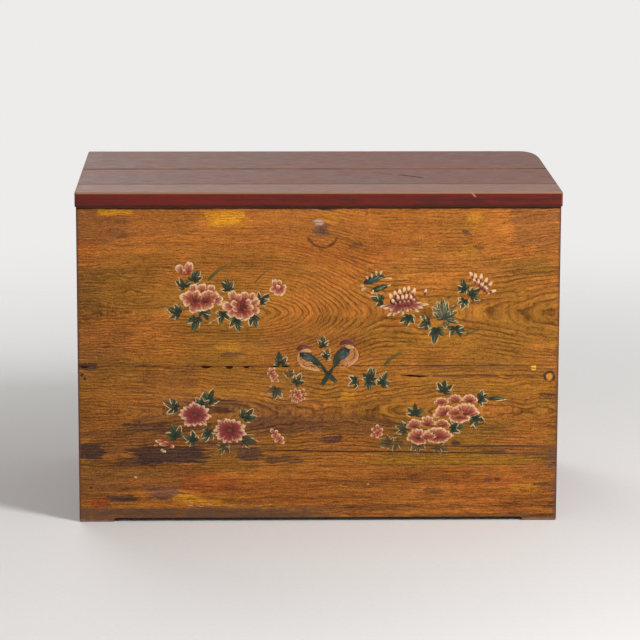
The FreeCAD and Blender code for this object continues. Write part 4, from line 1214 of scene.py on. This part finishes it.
# Grass blades: (start, bend, end, width).
STALKS = (
    ((-227, 500), (-207, 526), (-178, 539), 7.0), ((-132, 496), (-114, 519), (-92, 531), 3.4),
    ((133, 323), (146, 348), (178, 356), 8.0), ((296, 386), (312, 398), (340, 402), 4.0),
)


def paint_flowers():
    """The sprays of the four corners and the pair of birds in the middle."""
    for row in LEAVES:
        leaf(*row)
    leaves.lay(tapered_mark((343, 256), (362, 259), (381, 256), 9.0), 2)
    leaf_lights.lay(tapered_mark((351, 257), (365, 259), (379, 256), 2.4), 2)
    leaf_rims.lay(tapered_mark((361, 252), (375, 253), (386, 255), 2.4), 2)
    for start, bend, end, width in STALKS:
        blades.lay(tapered_mark(start, bend, end, width, 0.3), 0, 0.2)
    leaf_rims.lay(tapered_mark((-225, 413), (-213, 421), (-202, 426), 2.6, 0.4), 0, 0.2)

    for x, z, radius in ((-252, 464, 15.0), (-228, 462, 14.0), (-155, 448, 22.0), (-83, 486, 7.0)):
        hearts.lay(round_mark((x, z), radius, 5))
    rimmed_bloom(petals, TWIN_PEONY)
    rimmed_bloom(petals, FULL_PEONY)
    for x, z, reach, count in ((-253, 463, 13.0, 6), (-230, 461, 12.0, 6), (-156, 449, 15.0, 8)):
        dashes(hearts, (x, z), ring_tips(x, z, reach, count), 3.2, 20)
    rimmed_bloom(petals, PAIR_BUD)
    rimmed_bloom(petals, LOOSE_BUD)

    dashes(skirts, (171, 456), DOME_SKIRT, 6.8, 0)
    hearts.lay(tapered_mark((143, 461), (171, 452), (200, 466), 26.0, 0.5, 0.5), 8)
    bloom(skirts, DOME_FOOT, 12)
    bloom(fingers, DOME, 8)
    petal(fingers, 216, 478, 74, 15, 6)
    leafy_bloom((255, 421), LEAFY_TIPS)
    dashes(feathers, (254, 424), ((247, 456), (239, 446), (258, 449), (270, 440), (259, 410)), 4.0, 0, 0.2)
    light_tips = 0.22 * np.array((255.0, 424.0)) + 0.78 * np.array(LEAFY_TIPS)
    dashes(leaf_lights, (255, 424), light_tips, 3.0, 8, 0.1)
    dashes(skirts, (334, 480), SIDE_SKIRT, 6.0, 0)
    bloom(fingers, SIDE_BLOOM, 2)
    leaves.lay(tapered_mark((89, 495), (108, 505), (134, 513), 18.0), 0)
    leaves.lay(tapered_mark((105, 480), (123, 487), (144, 493), 14.0), 1)
    dashes(feathers, (98, 497), ((110, 509), (118, 508), (126, 510)), 4.0, 0)
    dashes(leaf_lights, (95, 497), ((114, 504), (124, 513), (130, 510)), 2.4, 6)
    dashes(leaf_lights, (110, 482), ((128, 489), (138, 493), (130, 486)), 2.2, 4)
    bloom(leaf_rims, LEAF_DABS, 12)

    bloom(petals, TALL_BLOSSOM, 0, 0.15)
    bloom(petals, WIDE_BLOSSOM, 0, 0.15)
    daisy(-252, 224, 64)
    daisy(-181, 192, 66)
    bloom(roses, WORN_BUD, 0, 0.1)
    petal(leaf_rims, -317, 149, 158, 13, 7, 0, 0.1)
    bloom(petals, SMALL_BUD, 0, 0.1)

    hearts.lay(tapered_mark((245, 230), (284, 236), (322, 232), 20.0, 0.5, 0.5))
    hearts.lay(tapered_mark((190, 178), (231, 184), (270, 180), 20.0, 0.5, 0.5))
    for row in UPPER_FRILLS:
        frill(*row)
    for row in LOWER_FRILLS:
        frill(*row, 0.1)
    bloom(roses, DAB_BUD, 0, 0.1)

    bird(crest=((-46, 358), (-32, 372), (-14, 361)), face=((-38, 355), (-27, 359), (-14, 357)),
         body=((-35, 352), (-33, 332), (4, 320)), breast=((-40, 354), (-50, 322), (6, 316)), girth=10.0,
         wing=((-40, 351), (-21, 347), (4, 331)), wing_width=18.0,
         back=((-16, 334), (0, 330), (16, 318)), tail=((4, 325), (38, 290)))
    bird(crest=((42, 369), (57, 384), (75, 368)), face=((51, 364), (62, 367), (73, 363)),
         body=((67, 362), (72, 342), (42, 322)), breast=((72, 365), (92, 338), (48, 322)), girth=11.0,
         wing=((64, 363), (43, 354), (30, 328)), wing_width=22.0,
         back=((46, 346), (36, 336), (26, 316)), tail=((33, 328), (4, 282)))


# The floor's half width, and how far from the trunk it starts to fade and is gone.
FLOOR_HALF = 6.0
FLOOR_FULL = 0.7
FLOOR_GONE = 3.4
FLOOR_COLOURS = (0.79, 0.775, 0.76), (0.85, 0.835, 0.82)
# Lamps: (name, place, width, watts).
LAMPS = (
    ("key_lamp", (2.6, -2.6, 2.7), 1.2, 150.0),
    ("fill_lamp", (-1.5, -5.0, 2.0), 3.0, 22.0),
    ("back_lamp", (-1.6, 3.6, 3.2), 2.6, 60.0),
)
LAMP_AIM = (0.0, 0.0, 0.33)
WORLD_COLOUR = (1.0, 0.985, 0.97)
# The world's strength as a light and as what is seen.
WORLD_LIGHT = 0.30
WORLD_SEEN = 0.85
# The camera's place, its yaw, pitch and roll in degrees, and its lens in mm on a 36 mm sensor.
CAMERA_PLACE = (-0.15995, -6.46767, 1.61174)
CAMERA_TURNS = (1.508, 10.920, 0.154)
CAMERA_LENS = 174.06


def make_stage():
    """A wide pale floor, a broad key lamp at the right front, weaker fill and back lamps and a pale world."""
    mesh = bpy.data.meshes.new("floor")
    corners = [(FLOOR_HALF * x, FLOOR_HALF * y, 0.0) for x, y in ((-1, -1), (1, -1), (1, 1), (-1, 1))]
    mesh.from_pydata(corners, [], [(0, 1, 2, 3)])
    floor = place_object("floor", mesh)

    def work_floor(place):
        grain = cloud(place, (90.0, 90.0, 90.0), 3.0)
        return {
            "Colour": mix(grain, *FLOOR_COLOURS),
            "Roughness": grain * 0.1 + 0.75,
            "Height": grain * 0.05,
        }

    pale = finish("pale_floor", work_floor, FLOOR_SHINE)
    tree = pale.node_tree
    place = results(tree.nodes.new("ShaderNodeTexCoord"))["Object"]
    gone = rise(measure("LENGTH", place), FLOOR_FULL, FLOOR_GONE)
    solid, = results(tree.nodes["Principled BSDF"]).values()
    clear, = results(tree.nodes.new("ShaderNodeBsdfTransparent")).values()
    edge = put("MixShader", {0: gone, 1: solid, 2: clear})
    tree.links.new(edge.outputs[0], tree.nodes["Material Output"].inputs["Surface"])
    mesh.materials.append(pale)

    for name, at, size, power in LAMPS:
        lamp = bpy.data.lights.new(name, "AREA")
        lamp.shape = "DISK"
        lamp.size = size
        lamp.energy = power
        holder = place_object(name, lamp)
        holder.location = at
        aim = Vector(LAMP_AIM) - holder.location
        holder.rotation_euler = aim.to_track_quat("-Z", "Y").to_euler()

    world = bpy.data.worlds.new("pale_room")
    world.use_nodes = True
    path = results(world.node_tree.nodes.new("ShaderNodeLightPath"))
    seen = larger(path["Is Camera Ray"], larger(path["Is Glossy Ray"], path["Is Transmission Ray"]))
    background = world.node_tree.nodes["Background"]
    feed(background.inputs["Color"], WORLD_COLOUR)
    feed(background.inputs["Strength"], between(seen, WORLD_LIGHT, WORLD_SEEN))
    bpy.context.scene.world = world


def place_camera():
    """Camera at the photograph's angle: a yaw and a pitch from straight ahead, then a small roll."""
    yaw, pitch, roll = (math.radians(angle) for angle in CAMERA_TURNS)
    ahead = np.array((math.sin(yaw) * math.cos(pitch), math.cos(yaw) * math.cos(pitch), -math.sin(pitch)))
    right = np.array((math.cos(yaw), -math.sin(yaw), 0.0))
    up = np.cross(right, ahead)
    rolled_right = right * math.cos(roll) + up * math.sin(roll)
    rolled_up = up * math.cos(roll) - right * math.sin(roll)
    lens = bpy.data.cameras.new("camera")
    lens.sensor_width = 36.0
    lens.lens = CAMERA_LENS
    lens.clip_end = 200.0
    camera = place_object("camera", lens)
    camera.location = CAMERA_PLACE
    camera.rotation_euler = Matrix(np.stack((rolled_right, rolled_up, -ahead), axis=1).tolist()).to_euler()
    bpy.context.scene.camera = camera


dress_pieces()
paint_flowers()
for marks in (leaves, leaf_lights, leaf_rims, blades, petals, roses, petal_rims, hearts, daisies, skirts,
              fingers, feathers, tails, breasts, caps):
    marks.hang()
make_stage()
place_camera()
bpy.context.scene.view_settings.view_transform = "Standard"
